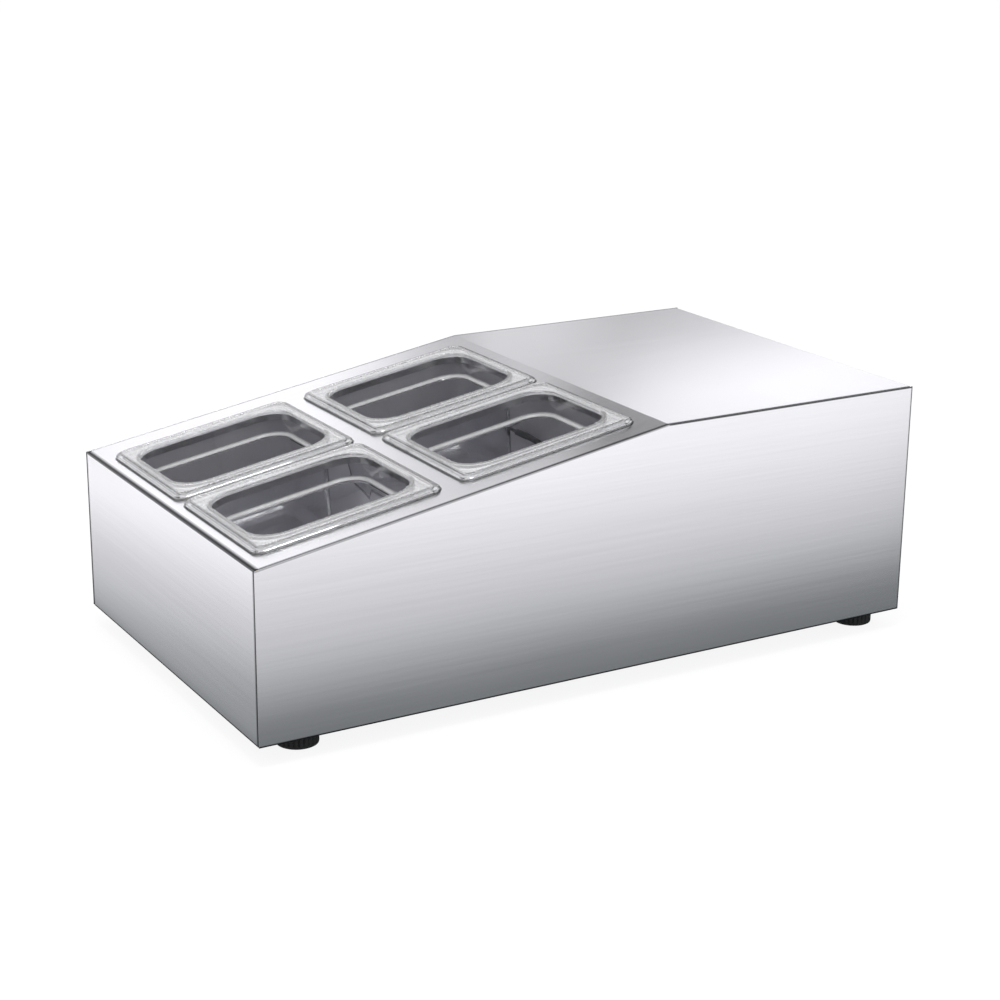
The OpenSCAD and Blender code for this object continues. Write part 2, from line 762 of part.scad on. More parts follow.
// Tube wound round the well, with both ends led back into the machine bay
module evaporator_coil() color(copper) {
    hl = well_l / 2 + coil_out;
    hw = well_w / 2 + coil_out;
    corners = [for (i = [0:coil_turns * 4 - 1]) let (c = [[1, 1], [-1, 1], [-1, -1], [1, -1]][i % 4])
        [well_u + c[0] * hl, well_y + c[1] * hw, coil_top - coil_pitch * (i + 0.5) / 4]];
    way = concat([[lead_u, pipe_y, coil_top], [well_u + hl, pipe_y, coil_top]], corners,
        [[well_u + hl, inlet_y, coil_low], [lead_u, inlet_y, coil_low]]);
    swept_tube([for (q = rounded_path(way, coil_bend, path_steps)) deck_point(q[0], q[1], q[2])], coil_r);
}

// Bulb in the well and its lead to the controller
module temperature_probe() color(black_plastic) {
    bulb_u = well_u + well_l / 2 - probe_set;
    case_x = rear_in - case_d;
    on_deck(bulb_u, probe_y - bulb_l / 2, probe_n) rotate([90, 0, 0]) cylinder(bulb_l, r = bulb_r);
    swept_tube(rounded_path([
        deck_point(bulb_u, probe_y - bulb_l / 2 - bulb_r, probe_n), deck_point(bulb_u, probe_y, probe_n),
        deck_point(lead_u, probe_y, probe_n),
        [bay_x + bulb_l, probe_y + bulb_l / 4, control_z + 2 * bulb_r],
        [case_x - bulb_l, controller_y, control_z], [case_x, controller_y, control_z]],
        2 * bulb_r, path_steps), wire_r, wire_facets);
}

// One ring of a pan: a rounded rectangle at a level, as points
function pan_ring(l, w, r, z) = [
    for (i = [0:3], k = [0:corner_steps]) let (
        a = 90 * i + 90 * k / corner_steps,
        sx = i == 0 || i == 3 ? 1 : -1,
        sy = i < 2 ? 1 : -1)
    [sx * (l / 2 - r) + r * cos(a), sy * (w / 2 - r) + r * sin(a), z]];
function wall_ring(inset, z) = pan_ring(mouth_l - 2 * inset, mouth_w - 2 * inset,
    max(mouth_r - inset, least_r), z);
function rim_ring(inset, z) = pan_ring(pan_l - 2 * inset, pan_w - 2 * inset, max(rim_r - inset, least_r), z);

// Inner wall from the rim to the floor, as inset from the mouth and level
inner_wall = concat(
    [for (q = [[-0.9, 0], [-0.25, -0.3], [0, -1]]) [0, land_h] + mouth_round * q],
    [for (q = [[-0.2, 0.8], [0.15, 0.25]]) [top_draft, shoulder_z] + shoulder_round * q],
    [for (q = [[-0.35, -0.25], [0, -1]]) [wall_inset, shoulder_z] + shoulder_round * q],
    [for (q = [0:0.25:1]) [
        wall_inset + pan_draft + floor_r * (0.9 + 0.1 * q - cos(90 * q)),
        pan_floor_z + floor_r * (1 - sin(90 * q))]]);
last_station = len(inner_wall) - 1;
// Outward normal of the inner wall at a station
function wall_normal(i) = let (d = inner_wall[min(i + 1, last_station)] - inner_wall[max(i - 1, 0)])
    unit([d[1], -d[0]]);
// The same wall's outer face, kept under the rim
function outer_ring(i) = let (s = inner_wall[i] + pan_t * wall_normal(i))
    wall_ring(s[0], min(s[1], land_h - rim_t - rim_fillet));
pan_rings = concat(
    [wall_ring(inner_wall[last_station][0], pan_floor_z - pan_t)],
    [for (i = [last_station - 1:-1:2]) outer_ring(i)],
    [wall_ring(-pan_t - rim_fillet, land_h - rim_t),
     rim_ring(lip_w + rim_t, land_h - rim_t), rim_ring(lip_w + rim_t, lip_h - rim_t),
     rim_ring(rim_t, lip_h - rim_t), rim_ring(rim_t, 0),
     rim_ring(0, 0), rim_ring(0, lip_h - edge_round), rim_ring(edge_round, lip_h),
     rim_ring(lip_w, lip_h), rim_ring(lip_w + edge_round / 2, land_h - edge_round),
     rim_ring(lip_w + 1.5 * edge_round, land_h)],
    [for (s = inner_wall) wall_ring(s[0], s[1])]);

// Clear moulded pan that hangs in its cut-out by its stepped rim
module topping_pan(column, row) color(clear_plastic)
    on_deck(pan_u[column], pan_y[row])
        polyhedron([for (ring = pan_rings) each ring], stack_faces(len(pan_rings), ring_count));
module pan_low_right() topping_pan(0, 0);
module pan_low_left() topping_pan(0, 1);
module pan_high_right() topping_pan(1, 0);
module pan_high_left() topping_pan(1, 1);

// Places its children at the compressor's four bolts
module compressor_places() {
    inset = grommet_r + grommet_edge;
    for (sx = [-1, 1], sy = [-1, 1])
        translate([comp_x + sx * (plate_w / 2 - inset), comp_y + sy * (plate_l / 2 - inset), 0]) children();
}

module compressor() color(black_plastic) {
    low_dome = comp_h * 0.19;
    high_dome = comp_h * 0.27;
    translate([comp_x, comp_y, comp_z]) {
        rotate_extrude() polygon(concat(
            [for (a = [-90:15:0]) [comp_r * cos(a), low_dome * (1 + sin(a))]],
            [[comp_r, seam_z - seam_t], [comp_r + seam_out, seam_z - seam_t],
             [comp_r + seam_out, seam_z + seam_t], [comp_r, seam_z + seam_t]],
            [for (a = [0:15:90]) [comp_r * cos(a), comp_h - high_dome + high_dome * sin(a)]]));
        cylinder(low_dome / 2, r = comp_r * 0.6);
    }
    stub(suction_x, suction_z, stub_r);
    stub(discharge_x, discharge_z, stub_r);
    stub(comp_x, fill_z, fill_r);
    difference() {
        translate([comp_x, comp_y, comp_z - plate_t]) linear_extrude(plate_t)
            rounded_rect(plate_w, plate_l, grommet_r);
        compressor_places() translate([0, 0, comp_z - plate_t - over])
            cylinder(plate_t + 2 * over, r = bolt_r + seat_gap);
    }
}
module stub(x, z, r) {
    translate([x, stub_y, z]) rotate([-90, 0, 0]) cylinder(comp_y - stub_y - comp_r / 2, r = r);
}

module compressor_grommets() color([0.16, 0.16, 0.16]) compressor_places() translate([0, 0, floor_z])
    difference() {
        cylinder(grommet_h, r = grommet_r);
        translate([0, 0, -over]) cylinder(grommet_h + 2 * over, r = bolt_r + seat_gap);
    }

module compressor_bolts() color(zinc) compressor_places() {
    translate([0, 0, foot_h]) cylinder(comp_z - foot_h, r = bolt_r);
    translate([0, 0, comp_z]) cylinder(bolt_head, r = bolt_r * 2, $fn = 6);
}

// Cover over the start relay on the shell's side
module relay_cover() color(black_plastic) difference() {
    translate([comp_x - comp_r - relay_out, comp_y - relay_w / 2, comp_z + seam_z + relay_up])
        cube([relay_l, relay_w, relay_h]);
    translate([comp_x, comp_y, comp_z]) cylinder(comp_h, r = comp_r + seat_gap);
}

function tube_z(row) = cond_z + (row + 0.5) * tube_pitch;
module tube_holes(gap) {
    for (row = [0:tube_rows - 1]) translate([cond_mid_x, tube_z(row)]) circle(tube_r + gap);
}

module condenser_fins() color([0.78, 0.79, 0.80]) {
    first_y = -cond_y - cond_w / 2 + end_t + fin_edge;
    step = (cond_w - 2 * (end_t + fin_edge) - fin_t) / (fin_count - 1);
    for (i = [0:fin_count - 1]) translate([0, first_y + i * step + fin_t, 0]) rotate([90, 0, 0])
        linear_extrude(fin_t) difference() {
            translate([cond_x0, cond_z + fin_t]) square([cond_t, cond_h - 2 * fin_t]);
            tube_holes(run_gap);
        }
}

// End plates that hold the tubes and stand on the base
module condenser_frame() color(dark_steel) for (s = [-1, 1])
    translate([0, s * (cond_w - end_t) / 2 - cond_y, 0]) {
        across(end_t) difference() {
            union() {
                translate([cond_x0, cond_z]) square([cond_t, cond_h]);
                translate([cond_x0, floor_z]) square([leg_w, cond_z - floor_z + over]);
            }
            tube_holes(run_gap);
        }
        translate([cond_x0, s > 0 ? 0 : -frame_foot, floor_z]) cube([leg_w, frame_foot, end_t]);
    }

// One long tube, bent back and forth through the fins
module condenser_tubes() color(copper) {
    turn_out = cond_w / 2 + tube_past + tube_pitch / 2;
    turn_y = [-cond_y - turn_out, -cond_y + turn_out];
    way = concat([[cond_mid_x, tube_end_y, tube_z(tube_rows - 1)]],
        [for (i = [1:tube_rows - 1]) let (y = turn_y[(i + 1) % 2]) each
            [[cond_mid_x, y, tube_z(tube_rows - i)], [cond_mid_x, y, tube_z(tube_rows - i - 1)]]],
        [[cond_mid_x, tube_end_y, tube_z(0)]]);
    swept_tube(rounded_path(way, tube_pitch / 2, path_steps), tube_r);
}

// Sheet box from the condenser to the ring round the fan
module fan_shroud() color(black_plastic) {
    ring_r = fan_r + fan_gap;
    side_y = -cond_y - cond_w / 2;
    difference() {
        translate([shroud_x, side_y, cond_z]) cube([plenum_d, cond_w, cond_h]);
        translate([shroud_x + shroud_t, side_y + shroud_t, cond_z + shroud_t])
            cube([plenum_d, cond_w - 2 * shroud_t, cond_h - 2 * shroud_t]);
        translate([shroud_x - over, -cond_y, fan_z]) rotate([0, 90, 0])
            cylinder(2 * over + shroud_t, r = ring_r);
    }
    translate([shroud_x - collar_l, -cond_y, fan_z]) rotate([0, 90, 0]) difference() {
        cylinder(collar_l, r = ring_r + shroud_t);
        translate([0, 0, -over]) cylinder(collar_l + 2 * over, r = ring_r);
    }
}

// Upright plate that carries the motor, with a foot on the base
module fan_bracket() color(dark_steel) {
    upright_x = motor_x - bracket_t;
    upright_h = fan_z - floor_z + motor_r * 0.7;
    difference() {
        translate([upright_x, -cond_y - bracket_w / 2, floor_z]) cube([bracket_t, bracket_w, upright_h]);
        translate([upright_x - over, -cond_y, fan_z]) rotate([0, 90, 0])
            cylinder(bracket_t + 2 * over, r = boss_r + seat_gap);
    }
    translate([upright_x - bracket_foot, -cond_y - bracket_w / 2, floor_z])
        cube([bracket_foot, bracket_w, bracket_t]);
}

module fan_motor() color([0.30, 0.31, 0.33]) translate([motor_x, -cond_y, fan_z]) rotate([0, 90, 0]) {
    translate([0, 0, -bracket_t - boss_out]) cylinder(bracket_t + boss_out, r = boss_r);
    cylinder(motor_l * 0.35, r = motor_r);
    cylinder(motor_l * 0.65, r = motor_r * 0.9);
    cylinder(motor_l, r = motor_r * 0.55);
    cylinder(motor_l + motor_gap + hub_l, r = shaft_r);
}

// Blades are flat sheets set at the pitch, wider towards their tips
module fan_blades() color([0.75, 0.76, 0.78]) translate([hub_x, -cond_y, fan_z]) {
    root = hub_r * 0.8;
    tip = fan_r + over;
    rotate([0, 90, 0]) difference() {
        cylinder(hub_l, r = hub_r);
        translate([0, 0, -over]) cylinder(hub_l + 2 * over, r = shaft_r + run_gap);
    }
    for (i = [0:blade_count - 1]) rotate([360 / blade_count * i, 0, 0]) difference() {
        translate([hub_l / 2, 0, 0]) rotate([0, 0, blade_pitch]) rotate([90, 0, 90])
            linear_extrude(blade_t, center = true) intersection() {
                polygon([[-root * 0.8, root], [root * 0.8, root], [fan_r * 0.39, fan_r * 0.7],
                    [fan_r * 0.34, tip], [-fan_r * 0.29, tip], [-fan_r * 0.32, fan_r * 0.7]]);
                circle(fan_r);
            }
        rotate([0, 90, 0]) cylinder(hub_l, r = hub_r - lap);
    }
}

module filter_drier() color(copper) translate([drier_x, drier_y, drier_z]) rotate([90, 0, 0]) {
    cylinder(drier_l, r = drier_r, center = true);
    cylinder(drier_l + 2 * neck_step, r = drier_r * 0.7, center = true);
    cylinder(drier_l + 2 * neck_l, r = tube_r, center = true);
}

// Saddle that holds the drier off the bulkhead
module drier_clip() color(dark_steel) difference() {
    clip_h = drier_r + clip_edge;
    translate([bay_x, drier_y - clip_w / 2, drier_z - clip_h]) cube([drier_x - bay_x, clip_w, 2 * clip_h]);
    translate([drier_x, drier_y, drier_z]) rotate([90, 0, 0])
        cylinder(clip_w + 2 * over, r = drier_r + run_gap, center = true);
}

// Thin tube from the drier through a small coil to the evaporator's inlet
module capillary_tube() color(copper) {
    start = [drier_x, drier_y - drier_l / 2 - neck_l, drier_z];
    finish = deck_point(lead_u, inlet_y, coil_low);
    middle = [drier_x + wound_set, start[1] + wound_r, finish[2] - neck_l];
    cuts = 10;
    wound = [for (i = [0:cuts * wound_turns]) let (a = 200 + 360 * i / cuts)
        middle + [wound_r * cos(a), wound_r * sin(a), -wound_pitch * i / cuts]];
    last = wound[len(wound) - 1];
    swept_tube(concat(
        rounded_path([start, start - [0, neck_l, 0], start + neck_l * [1, -1.25, -1.25],
            wound[0] + neck_l * [-0.25, 0.5, 0.4], wound[0]], neck_l / 2, path_steps),
        [for (i = [1:len(wound) - 1]) wound[i]],
        rounded_path([last - [0, wound_pitch, wound_pitch / cuts], finish + wound_r * [2.5, -1.8, 0.2],
            finish + cap_lead * [cos(slope_a), 0, sin(slope_a)], finish], neck_l / 2, path_steps)),
        cap_r, wire_facets);
}

// Pipe from the evaporator to the compressor
module suction_pipe() color(copper) {
    start = deck_point(lead_u, pipe_y, coil_top);
    bend_in = start + pipe_lead * [cos(slope_a), 0, sin(slope_a)];
    swept_tube(rounded_path([start, bend_in, [suction_x, pipe_y, bend_in[2]], [suction_x, pipe_y, suction_z],
        [suction_x, stub_y, suction_z]], pipe_bend, path_steps), stub_r);
}

// Pipe from the compressor to the condenser
module discharge_pipe() color(copper) swept_tube(rounded_path([
    [discharge_x, stub_y, discharge_z], [discharge_x, pipe_y, discharge_z], [discharge_x, pipe_y, tube_top_z],
    [cond_mid_x, pipe_y, tube_top_z], [cond_mid_x, tube_end_y, tube_top_z]], pipe_bend, path_steps), stub_r);

// Pipe from the condenser to the drier
module liquid_pipe() color(copper) swept_tube(rounded_path([
    [cond_mid_x, tube_end_y, tube_low_z], [cond_mid_x, pipe_y, tube_low_z], [drier_x, pipe_y, tube_low_z],
    [drier_x, pipe_y, drier_z], [drier_x, drier_y + drier_l / 2 + neck_l, drier_z]],
    pipe_bend, path_steps), tube_r);

// Places its children at one button, by column and row
module button_place(column, row) {
    translate([0, buttons_y + column * button_pitch_y, control_z + row * button_pitch_z]) children();
}

module controller_case() color(black_plastic) difference() {
    union() {
        translate([rear_in - case_d, controller_y - case_w / 2, control_z - case_h / 2])
            cube([case_d + sheet_t, case_w, case_h]);
        translate([rear_x, controller_y, control_z]) rotate([90, 0, 90]) linear_extrude(bezel_t)
            rounded_rect(bezel_w, bezel_h, bezel_r);
    }
    translate([bezel_face - window_t, window_y, control_z]) rotate([90, 0, 90])
        linear_extrude(window_t + over) seat_hole(window_w, window_h);
    for (p = button_places) button_place(p[0], p[1])
        translate([button_back - button_travel - button_room, 0, 0]) rotate([90, 0, 90])
            linear_extrude(button_l + over) seat_hole(button_w, button_h);
}

module display_window() color([0.20, 0.03, 0.04])
    translate([bezel_face - window_t, window_y - window_w / 2, control_z - window_h / 2])
        cube([window_t, window_w, window_h]);

module button(i) color([0.62, 0.63, 0.65]) button_place(button_places[i][0], button_places[i][1])
    translate([button_back, 0, 0]) rotate([90, 0, 90]) linear_extrude(button_l)
        rounded_rect(button_w, button_h, button_r);
module set_button() button(0);
module up_button() button(1);
module down_button() button(2);
module power_button() button(3);

module switch_housing() color(black_plastic) translate([0, rocker_y, control_z]) difference() {
    outer_w = switch_w + 2 * switch_wall;
    outer_h = switch_h + 2 * switch_wall;
    union() {
        translate([rear_x - switch_d, -outer_w / 2, -outer_h / 2]) cube([switch_d, outer_w, outer_h]);
        translate([rear_x, 0, 0]) rotate([90, 0, 90]) linear_extrude(switch_bezel_t)
            rounded_rect(outer_w + 2 * switch_rim, outer_h + 2 * switch_rim, switch_r);
    }
    translate([pivot_x - pocket_in, -switch_w / 2, -switch_h / 2]) cube([switch_d, switch_w, switch_h]);
    translate([pivot_x, 0, 0]) rotate([90, 0, 0])
        cylinder(switch_w + 2 * (pin_l + seat_gap), r = pin_r + run_gap, center = true);
}

// Rocker at rest in its off position
module switch_rocker() color([0.55, 0.06, 0.05]) translate([pivot_x, rocker_y, control_z])
    rotate([0, rocker_tilt, 0]) {
        reach = switch_h / 2 - pin_l;
        face = 3;
        end_face = face + reach * tan(rocker_tilt);
        across(switch_w - 2 * seat_gap) polygon([
            [-pivot_in, -face], [end_face, -reach], [face, 0], [end_face, reach], [-pivot_in, face]]);
        rotate([90, 0, 0]) cylinder(switch_w + 2 * pin_l, r = pin_r, center = true);
    }

// Outline of the power inlet's socket, with its two cut corners
module socket_outline(extra = 0) {
    w = socket_w / 2 + extra;
    h = socket_h / 2 + extra;
    cut = 4.5;
    polygon([[-w, -h], [w, -h], [w, h - cut], [w - cut, h], [cut - w, h], [-w, h - cut]]);
}

module power_inlet() color(black_plastic) translate([rear_x, inlet_mid_y, inlet_mid_z]) rotate([90, 0, 90])
    difference() {
        union() {
            translate([0, 0, -socket_d - inlet_back]) linear_extrude(socket_d + inlet_back)
                square([socket_w + 2 * inlet_wall, socket_h + 2 * inlet_wall], center = true);
            linear_extrude(inlet_t) rounded_rect(socket_w + 2 * inlet_rim, socket_h + 2 * inlet_rim, inlet_r);
        }
        translate([0, 0, -socket_d]) linear_extrude(socket_d + inlet_t + over) socket_outline();
    }

// Three flat pins, short of the socket's mouth
module inlet_pins() color(zinc) translate([rear_x - socket_d, inlet_mid_y, inlet_mid_z]) rotate([90, 0, 90]) {
    pin_out = 7;
    pin_size = [2, 4];
    pin_up = pin_size[1] / 2;
    short = 3;
    linear_extrude(socket_d - short) for (p = [[-pin_out, -pin_up], [pin_out, -pin_up], [0, pin_up]])
        translate(p) square(pin_size, center = true);
}

module foot_nuts() color(zinc) for (p = feet) translate([p[0], p[1], floor_z]) difference() {
    cylinder(nut_h, r = nut_r, $fn = 6);
    translate([0, 0, -over]) cylinder(nut_h + 2 * over, r = stud_r + run_gap);
}

// Fluted levelling foot that turns on its stud
module foot(i) color(black_plastic) translate([feet[i][0], feet[i][1], 0]) difference() {
    top = foot_h - foot_gap;
    sole = 1.5;
    flute_r = 1.1;
    core_r = foot_r - 1.2 * flute_r;
    union() {
        cylinder(top, r = core_r);
        translate([0, 0, sole]) linear_extrude(top - 2 * sole) difference() {
            circle(foot_r);
            for (k = [0:flute_count - 1]) rotate(360 * k / flute_count)
                translate([foot_r, 0]) circle(flute_r, $fn = 16);
        }
    }
    translate([0, 0, stud_foot]) cylinder(foot_h, r = stud_r + run_gap);
}
module stud(i) color(zinc) translate([feet[i][0], feet[i][1], stud_foot + stud_gap])
    cylinder(foot_h + stud_l - stud_foot - stud_gap, r = stud_r);
module low_right_foot() foot(0);
module low_left_foot() foot(1);
module high_right_foot() foot(2);
module high_left_foot() foot(3);
module low_right_stud() stud(0);
module low_left_stud() stud(1);
module high_right_stud() stud(2);
module high_left_stud() stud(3);

front_panel();
right_side_panel();
left_side_panel();
top_panel();
rear_panel();
base_pan();
bulkhead();
rear_screws();
well_liner();
insulation();
evaporator_coil();
temperature_probe();
pan_low_right();
pan_low_left();
pan_high_right();
pan_high_left();
compressor();
compressor_grommets();
compressor_bolts();
relay_cover();
condenser_fins();
condenser_tubes();
condenser_frame();
fan_shroud();
fan_bracket();
fan_motor();
fan_blades();
filter_drier();
drier_clip();
capillary_tube();
suction_pipe();
discharge_pipe();
liquid_pipe();
controller_case();
display_window();
set_button();
up_button();
down_button();
power_button();
switch_housing();
switch_rocker();
power_inlet();
inlet_pins();
foot_nuts();
low_right_foot();
low_left_foot();
high_right_foot();
high_left_foot();
low_right_stud();
low_left_stud();
high_right_stud();
high_left_stud();
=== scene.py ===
import json
import math

import bpy
import numpy as np
from mathutils import Matrix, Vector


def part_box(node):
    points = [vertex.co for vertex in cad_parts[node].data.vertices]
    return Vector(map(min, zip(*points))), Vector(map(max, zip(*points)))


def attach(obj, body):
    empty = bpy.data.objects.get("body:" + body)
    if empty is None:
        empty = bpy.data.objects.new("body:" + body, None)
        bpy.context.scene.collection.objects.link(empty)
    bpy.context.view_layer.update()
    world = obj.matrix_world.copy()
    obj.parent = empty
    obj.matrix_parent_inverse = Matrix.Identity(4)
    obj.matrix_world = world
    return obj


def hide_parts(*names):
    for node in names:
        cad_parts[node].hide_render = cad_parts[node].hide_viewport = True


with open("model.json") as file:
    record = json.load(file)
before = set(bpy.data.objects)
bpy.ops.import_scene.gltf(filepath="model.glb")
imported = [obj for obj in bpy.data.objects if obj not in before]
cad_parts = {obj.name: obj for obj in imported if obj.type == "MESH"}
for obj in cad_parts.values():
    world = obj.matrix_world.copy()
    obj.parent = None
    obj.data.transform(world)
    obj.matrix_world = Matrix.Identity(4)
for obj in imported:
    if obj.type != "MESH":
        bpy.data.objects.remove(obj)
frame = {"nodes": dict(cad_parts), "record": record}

scene = bpy.context.scene
nodes = frame["nodes"]
slotOf = {row["node"]: row["material_slot"] for row in frame["record"]["subparts"]}
bodyOf = {n: body for body, names in frame["record"]["behaviour"]["bodies"].items() for n in names}
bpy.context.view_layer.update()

deckPlace = {"lowX": -0.336, "lowZ": 0.170, "run": 0.395, "rise": 0.068}  # the deck's low edge, run and rise
deckSlope = math.atan2(deckPlace["rise"], deckPlace["run"])


class Wire:  # one shader value: arithmetic on it adds Math nodes
    def __init__(self, shade, socket):
        self.shade = shade
        self.socket = socket

    def __add__(self, other): return self.shade.maths("ADD", self, other)
    def __radd__(self, other): return self.shade.maths("ADD", other, self)
    def __sub__(self, other): return self.shade.maths("SUBTRACT", self, other)
    def __rsub__(self, other): return self.shade.maths("SUBTRACT", other, self)
    def __mul__(self, other): return self.shade.maths("MULTIPLY", self, other)
    def __rmul__(self, other): return self.shade.maths("MULTIPLY", other, self)
    def __truediv__(self, other): return self.shade.maths("DIVIDE", self, other)
    def __pow__(self, other): return self.shade.maths("POWER", self, other)


class Shade:  # one node tree and the ways to add to it
    def __init__(self, owner):
        owner.use_nodes = True
        self.tree = owner.node_tree
        self.tree.nodes.clear()

    def node(self, kind, settings=None, inputs=None, out=0):  # any node: settings first, then its sockets
        made = self.tree.nodes.new("ShaderNode" + kind)
        for name, value in (settings or {}).items():
            if name == "stops":
                self.stops(made.color_ramp, value)
            else:
                setattr(made, name, value)
        for key, value in (inputs or {}).items():
            if isinstance(value, Wire):
                self.tree.links.new(value.socket, made.inputs[key])
            else:
                made.inputs[key].default_value = value
        return Wire(self, made.outputs[out])

    def stops(self, ramp, rows):  # rows are (place, colour), and two of them are there already
        while len(ramp.elements) < len(rows):
            ramp.elements.new(0.5)
        for element, (place, colour) in zip(ramp.elements, rows):
            element.position = place
            element.color = (*colour, 1)

    def maths(self, kind, a, b=0.0):
        return self.node("Math", {"operation": kind}, {0: a, 1: b})

    def largest(self, first, *others):
        for other in others:
            first = self.maths("MAXIMUM", first, other)
        return first

    def tone(self, factor, low, high):  # a colour between two colours
        low, high = [c if isinstance(c, Wire) else (*c, 1) for c in (low, high)]
        return self.node("Mix", {"data_type": "RGBA"}, {0: factor, 6: low, 7: high}, out=2)

    def place(self):  # object coordinates, in metres
        return self.node("TexCoord", out="Object")

    def axes(self, at):  # X, Y and Z of a place, each on its own
        x = self.node("SeparateXYZ", {}, {"Vector": at})
        return [x] + [Wire(self, x.socket.node.outputs[name]) for name in "YZ"]

    def onSlope(self, x, z):  # distance up the sloping deck from its low edge, and height above it
        x, z = x - deckPlace["lowX"], z - deckPlace["lowZ"]
        return (x * math.cos(deckSlope) + z * math.sin(deckSlope),
                z * math.cos(deckSlope) - x * math.sin(deckSlope))

    def noise(self, at, stretch, detail=2.0, rough=0.5):  # noise with its own scale along each axis
        scaled = self.node("Mapping", {}, {"Vector": at, "Scale": stretch})
        return self.node("TexNoise", {}, {"Vector": scaled, "Scale": 1.0, "Detail": detail, "Roughness": rough})

    def bump(self, height, strength, distance):
        return self.node("Bump", {}, {"Height": height, "Strength": strength, "Distance": distance}, out="Normal")

    def close(self, shader, output="OutputMaterial"):
        end = self.tree.nodes.new("ShaderNode" + output)
        self.tree.links.new(shader.socket, end.inputs["Surface"])


def newFinish(name):
    material = bpy.data.materials.new(name)
    return material, Shade(material)


def principled(shade, **sockets):
    shade.close(shade.node("BsdfPrincipled", {}, {key.replace("_", " "): v for key, v in sockets.items()}))


# Metal finishes

brushedLook = {
    "pale": (0.985, 0.983, 0.99), "deep": (0.855, 0.856, 0.866), "metal": 1.0,
    "roughness": 0.23, "streakGloss": 0.07, "handledGloss": 0.05,  # and how far streaks and handling change it
    "streak": (3.0, 900.0),  # cycles a metre along and across the brushing
    "band": (2.0, 0.33), "bandShare": 0.6,  # broader bands: the streaks' cycles times these
    "handled": 5.0,  # cycles a metre
    "grainBump": 0.35, "grainHeight": 0.00003,
    # painted shade for the seams and bends, and for a contact shadow round each pan's rim
    "seamShadeTone": (0.04, 0.043, 0.046),
}
seamShadeLook = {
    # where the panels end, and how deep their outer skin goes
    "highX": 0.334, "halfWidth": 0.1925, "bottom": 0.018, "skin": 0.002,
    # how far in from an edge each painted seam shade reaches
    "topEdge": 0.0036, "topLowEnd": 0.0042, "sideTop": 0.0011, "sideBack": 0.0022,
    "frontSide": 0.0040, "frontTop": 0.0012, "bottomEdge": 0.0013,
    "soft": 0.5, "sideSlope": 0.5, "farSide": 0.05,  # softness, and what is left on the slope and the far side
    # the pans' rims: half length and width, corner, then their middles up the deck and across
    "rim": (0.088, 0.0795, 0.012), "upMiddle": 0.199, "upStep": 0.0975,
    "acrossMiddle": -0.005, "acrossStep": 0.082,
    "rimLine": 0.0016, "rimOut": 0.0003, "rimSoft": 0.6, "rimShade": 0.85,  # the painted contact shadow line's width and place
}


def within(s, distance, reach, soft):
    # 1 from an edge to the reach, and 0 beyond it, with a soft change between
    return s.node("MapRange", {"interpolation_type": "SMOOTHSTEP"},
                  {"Value": distance, "From Min": reach * (1 - soft), "From Max": reach * (1 + soft),
                   "To Min": 1.0, "To Max": 0.0})


def rimGap(s, up, y, c):
    # distance out from the nearest pan's rim, a rectangle with round corners, and negative inside it:
    # the length of (a, b) where both are positive, or else the larger of them, less the corner's radius
    halfLength, halfWidth, corner = c["rim"]
    fromMiddle = s.maths("ABSOLUTE", up - c["upMiddle"])
    fromSpine = s.maths("ABSOLUTE", y - c["acrossMiddle"])
    a = s.maths("ABSOLUTE", fromMiddle - c["upStep"]) - (halfLength - corner)
    b = s.maths("ABSOLUTE", fromSpine - c["acrossStep"]) - (halfWidth - corner)
    beyondA, beyondB = s.largest(a, 0.0), s.largest(b, 0.0)
    inside = s.maths("MINIMUM", s.largest(a, b), 0.0)
    return s.maths("SQRT", beyondA * beyondA + beyondB * beyondB) + inside - corner


def topSeamShade(s, x, y, z, c):
    # painted shade along the folded edges, and a painted contact shadow round each pan's rim
    near = within(s, y + c["halfWidth"], c["topEdge"], c["soft"])
    far = within(s, c["halfWidth"] - y, c["topEdge"], c["soft"]) * c["farSide"]
    low = within(s, x - deckPlace["lowX"], c["topLowEnd"], c["soft"])
    up, _ = s.onSlope(x, z)
    fromLine = s.maths("ABSOLUTE", rimGap(s, up, y, c) - c["rimOut"])
    rim = within(s, fromLine, c["rimLine"] / 2, c["rimSoft"]) * c["rimShade"]
    return s.largest(near, far, low, rim)


def sideSeamShade(s, x, y, z, c):
    # painted shade along the upper edge, fainter along the slope and on the far side, in the upright bend at the
    # high end, and along the lower edge: the last two only on the outer skin, so the flanges stay bright
    climb = (x - deckPlace["lowX"]) * (deckPlace["rise"] / deckPlace["run"])
    top = s.maths("MINIMUM", climb + deckPlace["lowZ"], deckPlace["lowZ"] + deckPlace["rise"])
    level = s.maths("GREATER_THAN", x, deckPlace["lowX"] + deckPlace["run"])
    near = s.maths("LESS_THAN", y, 0.0)
    upper = (within(s, top - z, c["sideTop"], c["soft"]) * (c["sideSlope"] + (1 - c["sideSlope"]) * level)
             * (c["farSide"] + (1 - c["farSide"]) * near))
    back = within(s, c["highX"] - x, c["sideBack"], c["soft"])
    bottom = within(s, z - c["bottom"], c["bottomEdge"], c["soft"])
    outer = s.maths("GREATER_THAN", s.maths("ABSOLUTE", y), c["halfWidth"] - c["skin"])
    return s.largest(upper, s.largest(back, bottom) * outer)


def frontSeamShade(s, x, y, z, c):
    # painted shade in both upright bends, and along the upper and lower edges
    side = within(s, c["halfWidth"] - s.maths("ABSOLUTE", y), c["frontSide"], c["soft"])
    upper = within(s, deckPlace["lowZ"] - z, c["frontTop"], c["soft"])
    outer = s.maths("LESS_THAN", x, deckPlace["lowX"] + c["skin"])
    lower = within(s, z - c["bottom"], c["bottomEdge"], c["soft"]) * outer
    return s.largest(side, upper, lower)


